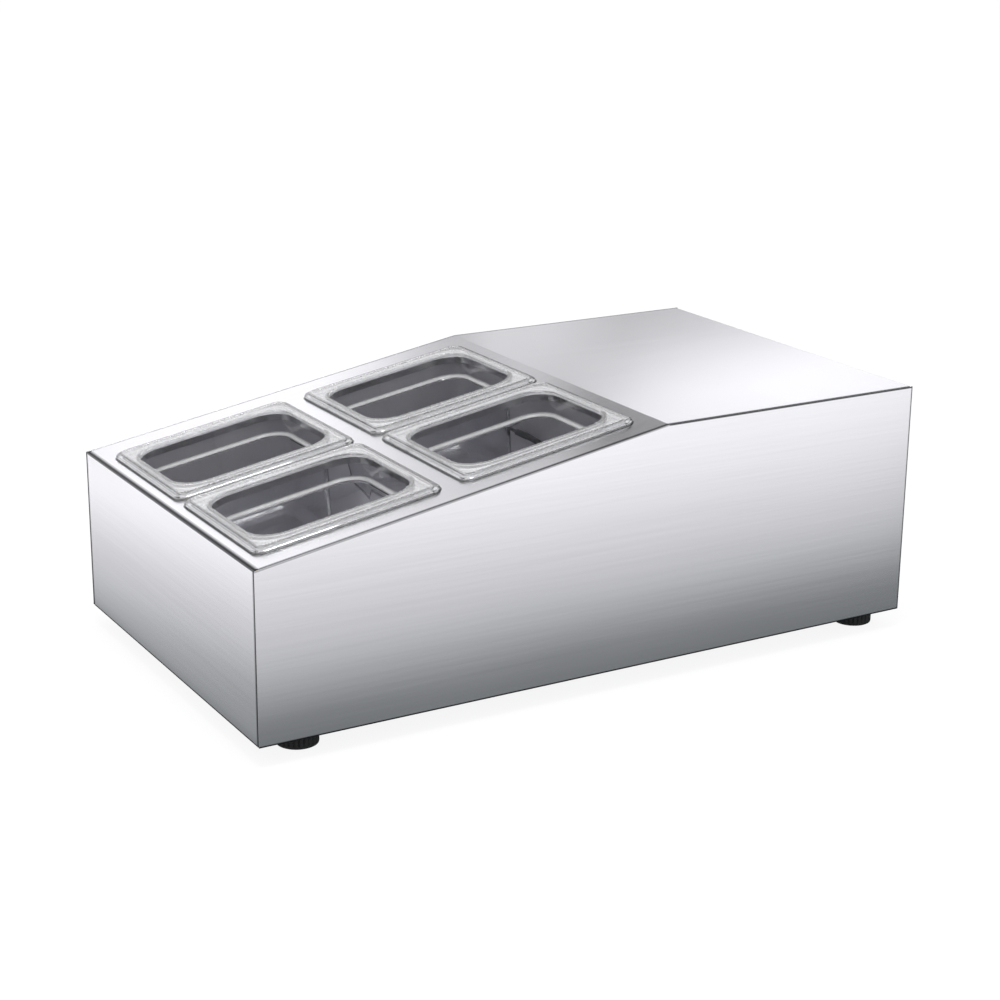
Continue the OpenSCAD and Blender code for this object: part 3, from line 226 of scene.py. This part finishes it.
def brushedSteel(name, along, look, seamShade=None):
    # fine streaks and broader bands: noise stretched along the brushing, over slow patches left by handling
    material, s = newFinish(name)
    at = s.place()
    (long, fine), (longBand, fineBand) = look["streak"], look["band"]
    grain = s.noise(at, tuple(long if axis == along else fine for axis in "xyz"), detail=3.0, rough=0.6)
    band = s.noise(at, tuple(long * longBand if axis == along else fine * fineBand for axis in "xyz"))
    patch = s.noise(at, (look["handled"],) * 3, detail=3.0)
    mixed = grain * (1 - look["bandShare"]) + band * look["bandShare"]
    roughness = (look["roughness"] + look["streakGloss"] * (mixed - 0.5)
                 + look["handledGloss"] * (patch - 0.5))
    colour = s.tone(mixed, look["deep"], look["pale"])
    # painted shade in the seams and bends, where a mask of it is given
    if seamShade:
        x, y, z = s.axes(at)
        colour = s.tone(seamShade(s, x, y, z, seamShadeLook), colour, look["seamShadeTone"])
    principled(s, Base_Color=colour, Metallic=look["metal"], Roughness=roughness,
               Normal=s.bump(grain, look["grainBump"], look["grainHeight"]))
    return material


wellLook = {**brushedLook, "pale": (0.80, 0.79, 0.83), "deep": (0.74, 0.73, 0.77),
            "roughness": 0.62, "metal": 0.6}
zincLook = {"pale": (0.66, 0.67, 0.69), "deep": (0.50, 0.51, 0.54), "roughness": 0.42, "crystalGloss": 0.16,
            "crystal": 140.0, "crystalShare": 0.55, "cloud": 9.0, "cloudBump": (0.12, 0.0006)}


def zincSheet(name, look):
    # spangle: each cell of a Voronoi pattern takes its own tone and gloss
    material, s = newFinish(name)
    at = s.place()
    cell = s.node("TexVoronoi", {}, {"Vector": at, "Scale": look["crystal"]}, out="Color")
    tone = s.node("SeparateColor", {}, {"Color": cell})
    cloud = s.noise(at, (look["cloud"],) * 3, detail=3.0)
    mixed = tone * look["crystalShare"] + cloud * (1 - look["crystalShare"])
    principled(s, Base_Color=s.tone(mixed, look["deep"], look["pale"]), Metallic=1.0,
               Roughness=look["roughness"] + look["crystalGloss"] * (tone - 0.5),
               Normal=s.bump(cloud, *look["cloudBump"]))
    return material


tarnishLook = {"bright": (0.86, 0.50, 0.34), "dull": (0.52, 0.27, 0.18), "roughness": 0.28, "patchGloss": 0.3,
               "patch": 34.0, "spread": 1.6, "mark": 500.0, "markBump": (0.15, 0.0002)}


def drawnCopper(name, look):
    # heat and handling leave darker patches, and drawing leaves fine marks
    material, s = newFinish(name)
    at = s.place()
    patch = s.noise(at, (look["patch"],) * 3, detail=4.0, rough=0.6)
    mark = s.noise(at, (look["mark"],) * 3)
    principled(s, Base_Color=s.tone(patch ** look["spread"], look["bright"], look["dull"]), Metallic=1.0,
               Roughness=look["roughness"] + look["patchGloss"] * (patch - 0.4),
               Normal=s.bump(mark, *look["markBump"]))
    return material


rolledLook = {"cloud": 40.0, "cloudGloss": 0.12, "grainBump": (0.15, 0.0001)}


def rolledMetal(name, pale, deep, roughness, grain=600.0):
    # plain rolled or plated metal, with soft clouding
    material, s = newFinish(name)
    at = s.place()
    cloud = s.noise(at, (rolledLook["cloud"],) * 3, detail=3.0)
    fine = s.noise(at, (grain,) * 3)
    principled(s, Base_Color=s.tone(cloud, deep, pale), Metallic=1.0,
               Roughness=roughness + rolledLook["cloudGloss"] * (cloud - 0.5),
               Normal=s.bump(fine, *rolledLook["grainBump"]))
    return material


# Plastic, paint, rubber and foam

mouldedLook = {"flow": 26.0, "flowGloss": 0.14, "grainBump": 0.3}
enamelLook = {"peel": 420.0, "peelBump": (0.2, 0.0003), "dust": 22.0, "dustSpread": 2.0, "dustGloss": 0.22}


def mouldedPlastic(name, pale, deep, roughness, grain=1400.0, depth=0.00006, coat=0.0):
    # spark-eroded grain from the mould, and slow gloss changes where it flowed
    material, s = newFinish(name)
    at = s.place()
    fine = s.noise(at, (grain,) * 3, detail=3.0, rough=0.6)
    flow = s.noise(at, (mouldedLook["flow"],) * 3)
    principled(s, Base_Color=s.tone(fine * 0.5 + flow * 0.5, deep, pale), Metallic=0.0,
               Roughness=roughness + mouldedLook["flowGloss"] * (flow - 0.5), Coat_Weight=coat,
               Normal=s.bump(fine, mouldedLook["grainBump"], depth))
    return material


def enamel(name, pale, deep, roughness):
    # sprayed enamel with orange peel and a thin film of dust
    material, s = newFinish(name)
    at = s.place()
    peel = s.noise(at, (enamelLook["peel"],) * 3, detail=1.0)
    dust = s.noise(at, (enamelLook["dust"],) * 3, detail=4.0, rough=0.65)
    principled(s, Base_Color=s.tone(dust ** enamelLook["dustSpread"], deep, pale), Metallic=0.0,
               Roughness=roughness + enamelLook["dustGloss"] * (dust - 0.4),
               Normal=s.bump(peel, *enamelLook["peelBump"]))
    return material


clearLook = {
    "tint": (0.955, 0.958, 0.97, 1.0), "refraction": 1.58,
    "wave": 16.0, "waveBump": (0.12, 0.0012),
    "scuff": (260.0, 60.0, 260.0), "scuffFrom": 0.56, "haze": 0.018, "scuffHaze": 0.28,
    # painted highlight: the shoulder by its height above the deck, reach and share; and a whitened rim top from a
    # height up
    "highlightHazeTone": (0.86, 0.86, 0.87, 1.0), "highlightHazeGloss": 0.4, "shoulderHighlightSoft": 0.4,
    "shoulder": (-0.0180, 0.0010, 0.62), "rimTop": (0.0042, 0.26),
    # painted shade lines: the lip's edge by height, reach and share, and the step by its place in from the rim's
    # edge
    "edgeShadeTone": (0.06, 0.06, 0.065, 1.0), "edgeShadeGloss": 0.25,
    "lip": (0.0008, 0.0011, 0.60), "lipReach": 0.0010, "lipSoft": 0.3,
    "step": (-0.0052, 0.0005, 0.22), "stepHeight": 0.002, "stepSoft": 0.5,
}


def clearPlastic(name, look):
    # polished clear moulding: gentle waves from the mould, and faint scuffs from serving spoons
    material, s = newFinish(name)
    at = s.place()
    x, y, z = s.axes(at)
    up, height = s.onSlope(x, z)
    wave = s.noise(at, (look["wave"],) * 3)
    scuff = s.noise(at, look["scuff"], detail=4.0, rough=0.7)
    scuffed = s.largest(scuff - look["scuffFrom"], 0.0)
    clear = s.node("BsdfPrincipled", {}, {
        "Base Color": look["tint"], "Roughness": look["haze"] + look["scuffHaze"] * scuffed,
        "Transmission Weight": 1.0, "IOR": look["refraction"], "Normal": s.bump(wave, *look["waveBump"])})
    # a painted highlight along the shoulder, and the top of the rim whitened to a haze
    place, reach, share = look["shoulder"]
    fromShoulder = s.maths("ABSOLUTE", height - place)
    shoulder = within(s, fromShoulder, reach, look["shoulderHighlightSoft"]) * share * (0.7 + 0.6 * scuff)
    place, share = look["rimTop"]
    rimTop = s.maths("GREATER_THAN", height, place) * share * (0.4 + 1.2 * scuff)
    highlightHaze = s.node("BsdfPrincipled", {}, {"Base Color": look["highlightHazeTone"], "Roughness": look["highlightHazeGloss"]})
    highlighted = s.node("MixShader", {}, {0: s.largest(shoulder, rimTop), 1: clear, 2: highlightHaze})
    # painted shade along the lip's edge and the step, where light runs along inside the plastic and leaves them
    # dark
    gap = rimGap(s, up, y, seamShadeLook)
    place, reach, share = look["lip"]
    lip = (within(s, s.maths("ABSOLUTE", height - place), reach, look["lipSoft"])
           * within(s, s.maths("ABSOLUTE", gap), look["lipReach"], look["lipSoft"]) * share)
    place, reach, share = look["step"]
    step = (within(s, s.maths("ABSOLUTE", gap - place), reach, look["stepSoft"])
            * s.maths("GREATER_THAN", height, look["stepHeight"]) * share)
    dark = s.node("BsdfPrincipled", {}, {"Base Color": look["edgeShadeTone"], "Roughness": look["edgeShadeGloss"]})
    s.close(s.node("MixShader", {}, {0: s.largest(lip, step), 1: highlighted, 2: dark}))
    return material


foamLook = {"cell": 900.0, "cellBump": (0.6, 0.0006), "cloud": 30.0, "roughness": 0.82, "cloudGloss": 0.1}


def rigidFoam(name, pale, deep):
    # cut foam: small closed cells
    material, s = newFinish(name)
    at = s.place()
    cell = s.node("TexVoronoi", {}, {"Vector": at, "Scale": foamLook["cell"]}, out="Distance")
    cloud = s.noise(at, (foamLook["cloud"],) * 3, detail=3.0)
    principled(s, Base_Color=s.tone(cloud, deep, pale), Metallic=0.0,
               Roughness=foamLook["roughness"] + foamLook["cloudGloss"] * cloud,
               Normal=s.bump(cell, *foamLook["cellBump"]))
    return material


finishes = {
    "stainless": brushedSteel("stainless_along", "x", brushedLook),
    # these three copies carry painted shade in their seams and bends, and the top a painted contact shadow round
    # the pans
    "stainlessTop": brushedSteel("stainless_top", "x", brushedLook, topSeamShade),
    "stainlessSide": brushedSteel("stainless_side", "x", brushedLook, sideSeamShade),
    "stainlessFront": brushedSteel("stainless_front", "y", brushedLook, frontSeamShade),
    "stainlessRear": brushedSteel("stainless_rear", "y", brushedLook),
    "well_stainless": brushedSteel("stainless_well", "x", wellLook),
    "zinc_sheet": zincSheet("zinc_sheet", zincLook),
    "plated_screw": rolledMetal("zinc_plate", (0.78, 0.78, 0.76), (0.62, 0.62, 0.60), 0.3),
    "foam": rigidFoam("rigid_foam", (0.93, 0.86, 0.62), (0.84, 0.74, 0.48)),
    "copper": drawnCopper("drawn_copper", tarnishLook),
    "probe_black": mouldedPlastic("lead_black", (0.13, 0.13, 0.135), (0.08, 0.08, 0.085), 0.5),
    "clear_pan": clearPlastic("clear_plastic", clearLook),
    "black_enamel": enamel("black_enamel", (0.075, 0.075, 0.078), (0.018, 0.018, 0.02), 0.3),
    "grommet_rubber": mouldedPlastic("grommet_rubber", (0.045, 0.045, 0.045), (0.025, 0.025, 0.025), 0.75),
    "black_plastic": mouldedPlastic("black_plastic", (0.035, 0.035, 0.038), (0.022, 0.022, 0.024), 0.42),
    "fin_aluminium": rolledMetal("fin_aluminium", (0.82, 0.83, 0.84), (0.68, 0.69, 0.70), 0.34, grain=300.0),
    "motor_grey": enamel("motor_grey", (0.30, 0.31, 0.33), (0.20, 0.21, 0.23), 0.4),
    "display_red": mouldedPlastic("display_red", (0.10, 0.012, 0.014), (0.06, 0.006, 0.008), 0.08,
                                  grain=200.0, depth=0.00001, coat=0.6),
    "button_grey": mouldedPlastic("button_grey", (0.46, 0.47, 0.49), (0.38, 0.39, 0.41), 0.45),
    "rocker_red": mouldedPlastic("rocker_red", (0.50, 0.03, 0.022), (0.38, 0.015, 0.012), 0.22,
                                 grain=500.0, depth=0.00002, coat=0.3),
    "foot_black": mouldedPlastic("foot_rubber", (0.040, 0.040, 0.042), (0.018, 0.018, 0.02), 0.55,
                                 grain=900.0, depth=0.0001),
}
ownFinish = {"top_panel": "stainlessTop", "front_panel": "stainlessFront", "rear_panel": "stainlessRear",
             "left_side_panel": "stainlessSide", "right_side_panel": "stainlessSide"}


def dress(piece, finish):
    if piece.material_slots:
        for row in piece.material_slots:
            row.material = finish
    else:
        piece.data.materials.append(finish)


for name, piece in nodes.items():
    dress(piece, finishes[ownFinish.get(name, slotOf[name])])
print("finishes:", len(finishes), "on", len(nodes), "nodes")


# Surfaces from arrays

def ringsToPiece(name, rings, finish):
    # a closed skin from a stack of closed rings (ring, point, xyz), with the first and last filled in
    count, around = rings.shape[:2]
    first = np.arange(count - 1)[:, None] * around + np.arange(around)[None, :]
    beside = np.roll(first, -1, axis=1)
    quads = np.stack([first, beside, beside + around, first + around], axis=-1).reshape(-1, 4)
    corners = np.concatenate([np.arange(around)[::-1], quads.ravel(), np.arange(around) + (count - 1) * around])
    sizes = np.concatenate([[around], np.full(len(quads), 4), [around]])
    starts = np.concatenate([[0], np.cumsum(sizes)[:-1]])
    mesh = bpy.data.meshes.new(name)
    mesh.vertices.add(count * around)
    mesh.vertices.foreach_set("co", rings.reshape(-1).astype(np.float32))
    mesh.loops.add(len(corners))
    mesh.loops.foreach_set("vertex_index", corners.astype(np.int32))
    mesh.polygons.add(len(sizes))
    mesh.polygons.foreach_set("loop_start", starts.astype(np.int32))
    mesh.polygons.foreach_set("use_smooth", np.ones(len(sizes), bool))
    mesh.update(calc_edges=True)
    mesh.validate()
    piece = bpy.data.objects.new(name, mesh)
    scene.collection.objects.link(piece)
    dress(piece, finish)
    return piece


def softened(stations, cut, steps):
    # a profile with each inner corner replaced by a short curve: (1-t)^2 a + 2t(1-t) corner + t^2 b, where a and b
    # lie the cut away from the corner, or just under half way to the next station if that is nearer
    before, here, after = stations[:-2], stations[1:-1], stations[2:]
    left = np.linalg.norm((before - here)[:, [0, 1, 3]], axis=1, keepdims=True)
    right = np.linalg.norm((after - here)[:, [0, 1, 3]], axis=1, keepdims=True)
    underHalf = 0.42
    a = here + (before - here) / left * np.minimum(cut, left * underHalf)
    b = here + (after - here) / right * np.minimum(cut, right * underHalf)
    t = np.linspace(0, 1, steps)[None, :, None]
    curve = (1 - t) ** 2 * a[:, None] + 2 * t * (1 - t) * here[:, None] + t ** 2 * b[:, None]
    return np.concatenate([stations[:1], curve.reshape(-1, stations.shape[1]), stations[-1:]])


def roundedRings(stations, cornerSteps):
    # each station is (length, width, corner radius, height), and a ring runs round it anticlockwise: at a corner,
    # x is half the length less the radius, plus radius times cos of the angle, and y the same with sin
    turn = np.linspace(0, math.pi / 2, cornerSteps)
    angle = np.concatenate([turn + k * math.pi / 2 for k in range(4)])
    side = np.repeat(np.array([[1, 1], [-1, 1], [-1, -1], [1, -1]]), cornerSteps, axis=0)
    length, width, radius, height = (stations[:, k:k + 1] for k in range(4))
    x = side[:, 0] * (length / 2 - radius) + radius * np.cos(angle)
    y = side[:, 1] * (width / 2 - radius) + radius * np.sin(angle)
    points = np.stack([x, y, np.broadcast_to(height, x.shape)], axis=-1)
    corners = points.reshape(len(stations), 4, cornerSteps, 3)
    share = np.array([0.04, 0.3, 0.7, 0.96])[None, None, :, None]  # extra points along each straight
    ends, starts = corners[:, :, -1:], np.roll(corners[:, :, :1], -1, axis=1)
    straights = ends + (starts - ends) * share
    return np.concatenate([corners, straights], axis=2).reshape(len(stations), -1, 3)


# Clear pans

panShape = {
    "length": 0.176, "width": 0.159, "rimRadius": 0.012, "depth": 0.100,
    "mouthLength": 0.150, "mouthWidth": 0.122, "mouthRadius": 0.026, "leastRadius": 0.003,
    "land": 0.0055, "lip": 0.0031,  # heights of the rim's flat top and of its lip above the deck
    "lipWidth": 0.005, "wall": 0.0024, "lipWall": 0.0016,
    "shoulder": 0.024, "step": 0.0035, "draft": 0.006, "floorRadius": 0.009,
    "cornerSteps": 14, "softCut": 0.0009, "softSteps": 4,
}
panPlaces = {  # distance up the deck and across, of each pan's middle
    "pan_low_right": (0.1015, -0.087), "pan_low_left": (0.1015, 0.077),
    "pan_high_right": (0.2965, -0.087), "pan_high_left": (0.2965, 0.077),
}


def panStations(p):
    # the skin from the middle of the underside, up the outer wall, over the stepped rim and down inside. The inner
    # profile is (inset from the mouth, height), and the outer one is it moved out by the wall along its normal
    land, lip, lipWall = p["land"], p["lip"], p["lipWall"]
    shoulder, floor = land - p["shoulder"], land - p["depth"] + p["wall"]
    inset = p["step"] + 0.0015
    bend = np.linspace(0, math.pi / 2, 7)
    low = np.stack([inset + p["draft"] + p["floorRadius"] * (1 - np.cos(bend)),
                    floor + p["floorRadius"] * (1 - np.sin(bend))], axis=1)
    inner = np.concatenate([np.array([
        [-0.0014, land], [-0.0004, land - 0.0005], [0, land - 0.0016], [0.001, shoulder + 0.002],
        [0.0018, shoulder + 0.0006], [inset - 0.0008, shoulder - 0.0006], [inset, shoulder - 0.0024]]), low])
    run = np.gradient(inner, axis=0)
    normal = np.stack([run[:, 1], -run[:, 0]], axis=1)
    normal /= np.linalg.norm(normal, axis=1, keepdims=True)
    outer = (inner + p["wall"] * normal)[:1:-1]
    outer[:, 1] = np.minimum(outer[:, 1], land - lipWall - 0.0012)

    def wall(rows):
        i, z = rows[:, 0], rows[:, 1]
        return np.stack([p["mouthLength"] - 2 * i, p["mouthWidth"] - 2 * i,
                         np.maximum(p["mouthRadius"] - i, p["leastRadius"]), z], axis=1)

    def rim(rows):
        i, z = np.array(rows).T
        return np.stack([p["length"] - 2 * i, p["width"] - 2 * i,
                         np.maximum(p["rimRadius"] - i, p["leastRadius"]), z], axis=1)

    under = np.array([[-p["wall"] - 0.0012, land - lipWall]])
    edge = p["lipWidth"]
    return np.concatenate([wall(outer), wall(under), rim([
        (edge + lipWall, land - lipWall), (edge + lipWall, lip - lipWall), (lipWall, lip - lipWall), (lipWall, 0),
        (0, 0), (0, lip - 0.0008), (0.0008, lip), (edge, lip), (edge + 0.0003, land - 0.0007),
        (edge + 0.0011, land)]), wall(inner)])


def onDeck(points, up, across):
    # turns points from the deck's own axes (up the slope, across, square to it) by its slope into the part's
    u, y, n = points[..., 0] + up, points[..., 1] + across, points[..., 2]
    return np.stack([deckPlace["lowX"] + u * math.cos(deckSlope) - n * math.sin(deckSlope), y,
                     deckPlace["lowZ"] + u * math.sin(deckSlope) + n * math.cos(deckSlope)], axis=-1)


panRings = roundedRings(softened(panStations(panShape), panShape["softCut"], panShape["softSteps"]),
                        panShape["cornerSteps"])
for name, (up, across) in panPlaces.items():
    pan = ringsToPiece("clear_" + name, onDeck(panRings, up, across), finishes["clear_pan"])
    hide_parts(name)
    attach(pan, bodyOf[name])
    print("pan:", name, len(pan.data.polygons), "faces")


# Fluted feet

footShape = {"radius": 0.0185, "height": 0.0177, "chamfer": 0.0012, "bore": 0.00405, "boreFloor": 0.005,
             "flutes": 26, "fluteDepth": 0.0016, "around": 288}


def footRings(p, x, y):
    # rows of the profile are (radius, height, fluted or not), from the bore's floor over the top and outside to the
    # underside, and radius = profile - depth * (0.5 + 0.5 cos(flutes * angle))^5 where it is fluted
    r, h, c = p["radius"], p["height"], p["chamfer"]
    rows = np.array([
        (0.0002, p["boreFloor"], 0), (p["bore"], p["boreFloor"], 0), (p["bore"], h, 0), (r * 0.55, h, 0),
        (r - c - 0.0004, h, 0), (r - c * 0.35, h - c * 0.3, 0), (r, h - c, 0), (r, h - c * 1.8, 1),
        (r, 0.009, 1), (r, c * 2.2, 1), (r, c * 1.4, 0), (r - c * 0.3, c * 0.4, 0), (r - c, 0, 0), (0.0002, 0, 0)])
    angle = np.linspace(0, 2 * math.pi, p["around"], endpoint=False)[::-1]
    flute = p["fluteDepth"] * (0.5 + 0.5 * np.cos(p["flutes"] * angle)) ** 5
    radius = rows[:, :1] - rows[:, 2:] * flute
    return np.stack([x + radius * np.cos(angle), y + radius * np.sin(angle),
                     np.broadcast_to(rows[:, 1:2], radius.shape)], axis=-1)


footNames = [name for name in nodes if name.endswith("_foot")]
for name in footNames:
    low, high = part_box(name)
    foot = ringsToPiece("fluted_" + name, footRings(footShape, (low.x + high.x) / 2, (low.y + high.y) / 2),
                        finishes["foot_black"])
    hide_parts(name)
    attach(foot, bodyOf[name])
print("feet:", len(footNames))


# Camera

cameraSetup = {"place": (-0.97913, -1.66714, 0.73832), "heading": -30.468, "tilt": -17.607, "roll": 0.509,
               "lens": 77.234, "sensor": 36.0, "clip": (0.02, 100.0)}


def makeCamera(c):
    data = bpy.data.cameras.new("camera")
    data.sensor_width = c["sensor"]
    data.lens = c["lens"]
    data.clip_start, data.clip_end = c["clip"]
    camera = bpy.data.objects.new("camera", data)
    scene.collection.objects.link(camera)
    turn = (Matrix.Rotation(math.radians(c["heading"]), 4, "Z")
            @ Matrix.Rotation(math.radians(90 + c["tilt"]), 4, "X")
            @ Matrix.Rotation(math.radians(c["roll"]), 4, "Z"))
    camera.matrix_world = Matrix.Translation(c["place"]) @ turn
    scene.camera = camera


# Studio

studio = {
    "floorDepth": -0.0004, "floorSize": 60.0, "footprint": (0.336, 0.1925),
    "bounceGrey": 0.72, "shadowGrey": 0.15, "seenWhite": 0.89,  # what diffuse rays and the camera see of the floor
    # what metal sees on the floor, with a painted shadow darkest next to the object, by the distance out from the
    # object in metres
    "glow": [(0.0, (0.15, 0.16, 0.165)), (0.10, (0.20, 0.21, 0.22)), (0.133, (0.28, 0.29, 0.30)),
             (0.19, (0.42, 0.43, 0.445)), (0.245, (0.59, 0.595, 0.615)), (0.30, (0.62, 0.615, 0.645)),
             (0.405, (0.77, 0.762, 0.797)), (0.49, (0.89, 0.882, 0.92)), (0.567, (1.0, 0.993, 1.03)),
             (0.616, (1.15, 1.142, 1.18)), (0.80, (1.16, 1.152, 1.19)), (0.98, (0.88, 0.88, 0.89))],
    # how that distance bends: along the near side, off the low end and off the high end
    "sideTilt": (0.2, 0.05), "lowJoin": 0.025,
    "lowEnd": {"from": 0.155, "slant": 1.694, "across": 0.08, "twist": 2.8, "curve": 11.4, "corner": 3.0},
    "highEnd": {"rate": 1.2, "corner": 0.5, "from": 0.8},
    # what metal sees of the sky, by height, and behind the camera
    "sky": [(0.0, (0.80, 0.80, 0.82)), (0.3, (0.70, 0.70, 0.72)), (0.5, (0.60, 0.60, 0.62)),
            (0.7, (0.50, 0.50, 0.52)), (1.0, (0.45, 0.45, 0.47))],
    "skyBehind": 0.5, "behindFrom": (-0.5, 0.3), "skyPanLevel": 1.0, "skyLevel": 0.78,
    "lampPower": 20.0, "lampSize": (1.0, 0.8), "lampPlace": (-0.3, -0.4, 2.4), "lampTilt": -8,
}


def mirrorRay(s):  # 1 for rays that left metal or passed through the clear pans
    return s.maths("MAXIMUM", s.node("LightPath", out="Is Glossy Ray"),
                   s.node("LightPath", out="Is Transmission Ray"))


def throughPans(s, level, colour):  # rays that passed through the clear pans see one even grey
    return s.tone(s.node("LightPath", out="Is Transmission Ray"), colour, (level,) * 3)


def makeFloor(c):
    # pale floor: the camera sees it white with a soft shadow, and metal sees a glow darkened by a painted shadow
    # towards the feet.
    # Beside a long side the glow goes by the distance out, and off the low end by
    # from + (y - slant * out) * (across + twist * out) + curve * out^2 - corner * (distance past the near side)
    half = c["floorSize"] / 2
    mesh = bpy.data.meshes.new("floor")
    mesh.from_pydata([(-half, -half, c["floorDepth"]), (half, -half, c["floorDepth"]),
                      (half, half, c["floorDepth"]), (-half, half, c["floorDepth"])], [], [(0, 1, 2, 3)])
    floor = bpy.data.objects.new("floor", mesh)
    scene.collection.objects.link(floor)
    material, s = newFinish("floor_pale")
    x, y, _ = s.axes(s.place())
    endX, sideY = c["footprint"]
    beside = s.largest(s.maths("ABSOLUTE", y) - sideY, 0.0)
    near = s.largest(0.0 - y - sideY, 0.0)
    low = s.largest(0.0 - x - endX, 0.0)
    high = s.largest(x - endX, 0.0)
    onNear = s.maths("GREATER_THAN", near, 0.0)
    onLow = s.maths("MINIMUM", low * (1 / c["lowJoin"]), 1.0)
    lowEnd, highEnd, (middle, tilt) = c["lowEnd"], c["highEnd"], c["sideTilt"]
    sides = s.largest(beside, highEnd["rate"] * high * (1.0 - onNear))
    sides = sides - highEnd["corner"] * s.largest(high - highEnd["from"] * beside, 0.0) * onNear
    sides = sides + tilt * (middle - x) * onNear
    front = ((y - lowEnd["slant"] * low) * (lowEnd["across"] + lowEnd["twist"] * low) + lowEnd["from"]
             + lowEnd["curve"] * low * low - lowEnd["corner"] * near)
    glow = s.node("ValToRGB", {"stops": c["glow"]}, {"Fac": sides + onLow * (front - sides)})
    bounce = s.node("BsdfDiffuse", {}, {"Color": (*(c["bounceGrey"],) * 3, 1)})
    shaded = s.node("AddShader", {}, {
        0: s.node("BsdfDiffuse", {}, {"Color": (*(c["shadowGrey"],) * 3, 1)}),
        1: s.node("Emission", {}, {"Color": (1, 1, 1, 1), "Strength": c["seenWhite"]})})
    mirrored = s.node("Emission", {}, {"Color": glow, "Strength": 1.0})
    plain = s.node("MixShader", {}, {0: s.node("LightPath", out="Is Camera Ray"), 1: bounce, 2: shaded})
    s.close(s.node("MixShader", {}, {0: mirrorRay(s), 1: plain, 2: mirrored}))
    dress(floor, material)


backCard = {
    "y": 0.62, "x": (-1.7, 2.2), "z": (0.30, 1.5), "ramp": (-0.6, 1.0), "rows": (0.44, 0.56),
    # grey along the card at its lower and upper row, as (X in metres, grey)
    "lower": [(-0.5, 0.5), (-0.3, 0.95), (-0.2, 1.10), (0.05, 1.10), (0.13, 0.93), (0.19, 0.65), (0.24, 0.50),
              (0.30, 0.50), (0.35, 0.72), (0.43, 0.72), (0.55, 0.48)],
    "upper": [(-0.5, 0.5), (-0.3, 0.95), (-0.16, 1.08), (-0.02, 0.98), (0.05, 0.87), (0.12, 0.75), (0.20, 0.68),
              (0.28, 0.62), (0.33, 0.56), (0.38, 0.34), (0.42, 0.19), (0.55, 0.13), (0.80, 0.40)],
    # a glow that grows towards the upper right from a corner at this X and Z, and fades over the last heights
    "glowX": 0.43, "glowZ": 0.41, "glowRate": 58.0, "glowFade": (0.57, 0.63), "glowTone": 1.42,
    "tint": (1.0, 0.992, 1.03), "panLevel": 1.05,
}


def makeBackCard(c):
    # a grey and white card behind the object, which only the metal and the clear pans see
    (x0, x1), (z0, z1) = c["x"], c["z"]
    mesh = bpy.data.meshes.new("card")
    mesh.from_pydata([(x0, c["y"], z0), (x1, c["y"], z0), (x1, c["y"], z1), (x0, c["y"], z1)], [], [(0, 1, 2, 3)])
    card = bpy.data.objects.new("card", mesh)
    scene.collection.objects.link(card)
    card.visible_camera = card.visible_diffuse = False
    card.visible_shadow = card.visible_volume_scatter = False
    material, s = newFinish("card_grey")
    x, _, z = s.axes(s.place())
    rampFrom, rampTo = c["ramp"]
    span = rampTo - rampFrom
    along = (x - rampFrom) / span

    def tinted(grey):
        return tuple(grey * share for share in c["tint"])

    rows = [s.node("ValToRGB", {"stops": [((place - rampFrom) / span, tinted(grey)) for place, grey in c[row]]},
                   {"Fac": along}) for row in ("lower", "upper")]
    lowRow, highRow = c["rows"]
    up = s.node("MapRange", {}, {"Value": z, "From Min": lowRow, "From Max": highRow})
    grey = s.tone(up, *rows)
    glow = s.largest(x - c["glowX"], 0.0) * s.largest(z - c["glowZ"], 0.0) * c["glowRate"]
    low, high = c["glowFade"]
    fade = s.node("MapRange", {}, {"Value": z, "From Min": low, "From Max": high, "To Min": 1.0, "To Max": 0.0})
    lit = s.tone(s.maths("MINIMUM", glow, 1.0) * fade, grey, tinted(c["glowTone"]))
    s.close(s.node("Emission", {}, {"Color": throughPans(s, c["panLevel"], lit), "Strength": 1.0}))
    dress(card, material)


def makeSky(c):
    # even white light; metal and clear plastic see grey overhead and behind the camera, lighter at the horizon
    world = bpy.data.worlds.new("sky")
    scene.world = world
    s = Shade(world)
    _, y, height = s.axes(s.node("TexCoord", out="Generated"))
    fall = s.node("ValToRGB", {"stops": c["sky"]}, {"Fac": height})
    darkest, plainFrom = c["behindFrom"]
    behind = s.node("MapRange", {}, {"Value": y, "From Min": darkest, "From Max": plainFrom,
                                     "To Min": c["skyBehind"], "To Max": 1.0})
    plain = s.node("Background", {}, {"Color": (1, 1, 1, 1), "Strength": c["skyLevel"]})
    seen = s.node("Background", {}, {"Color": (1, 1, 1, 1), "Strength": 1.0})
    grey = throughPans(s, c["skyPanLevel"], s.tone(behind, (0, 0, 0), fall))
    gloss = s.node("Background", {}, {"Color": grey, "Strength": 1.0})
    first = s.node("MixShader", {}, {0: s.node("LightPath", out="Is Camera Ray"), 1: plain, 2: seen})
    s.close(s.node("MixShader", {}, {0: mirrorRay(s), 1: first, 2: gloss}), "OutputWorld")


def makeLamp(c):
    # one soft lamp overhead
    data = bpy.data.lights.new("overhead", "AREA")
    data.shape = "RECTANGLE"
    data.size, data.size_y = c["lampSize"]
    data.energy = c["lampPower"]
    lamp = bpy.data.objects.new("overhead", data)
    scene.collection.objects.link(lamp)
    turn = Matrix.Rotation(math.radians(c["lampTilt"]), 4, "X")
    lamp.matrix_world = Matrix.Translation(c["lampPlace"]) @ turn


makeCamera(cameraSetup)
makeFloor(studio)
makeBackCard(backCard)
makeSky(studio)
makeLamp(studio)
scene.view_settings.view_transform = "Standard"
print("studio: floor, card, sky and lamp")
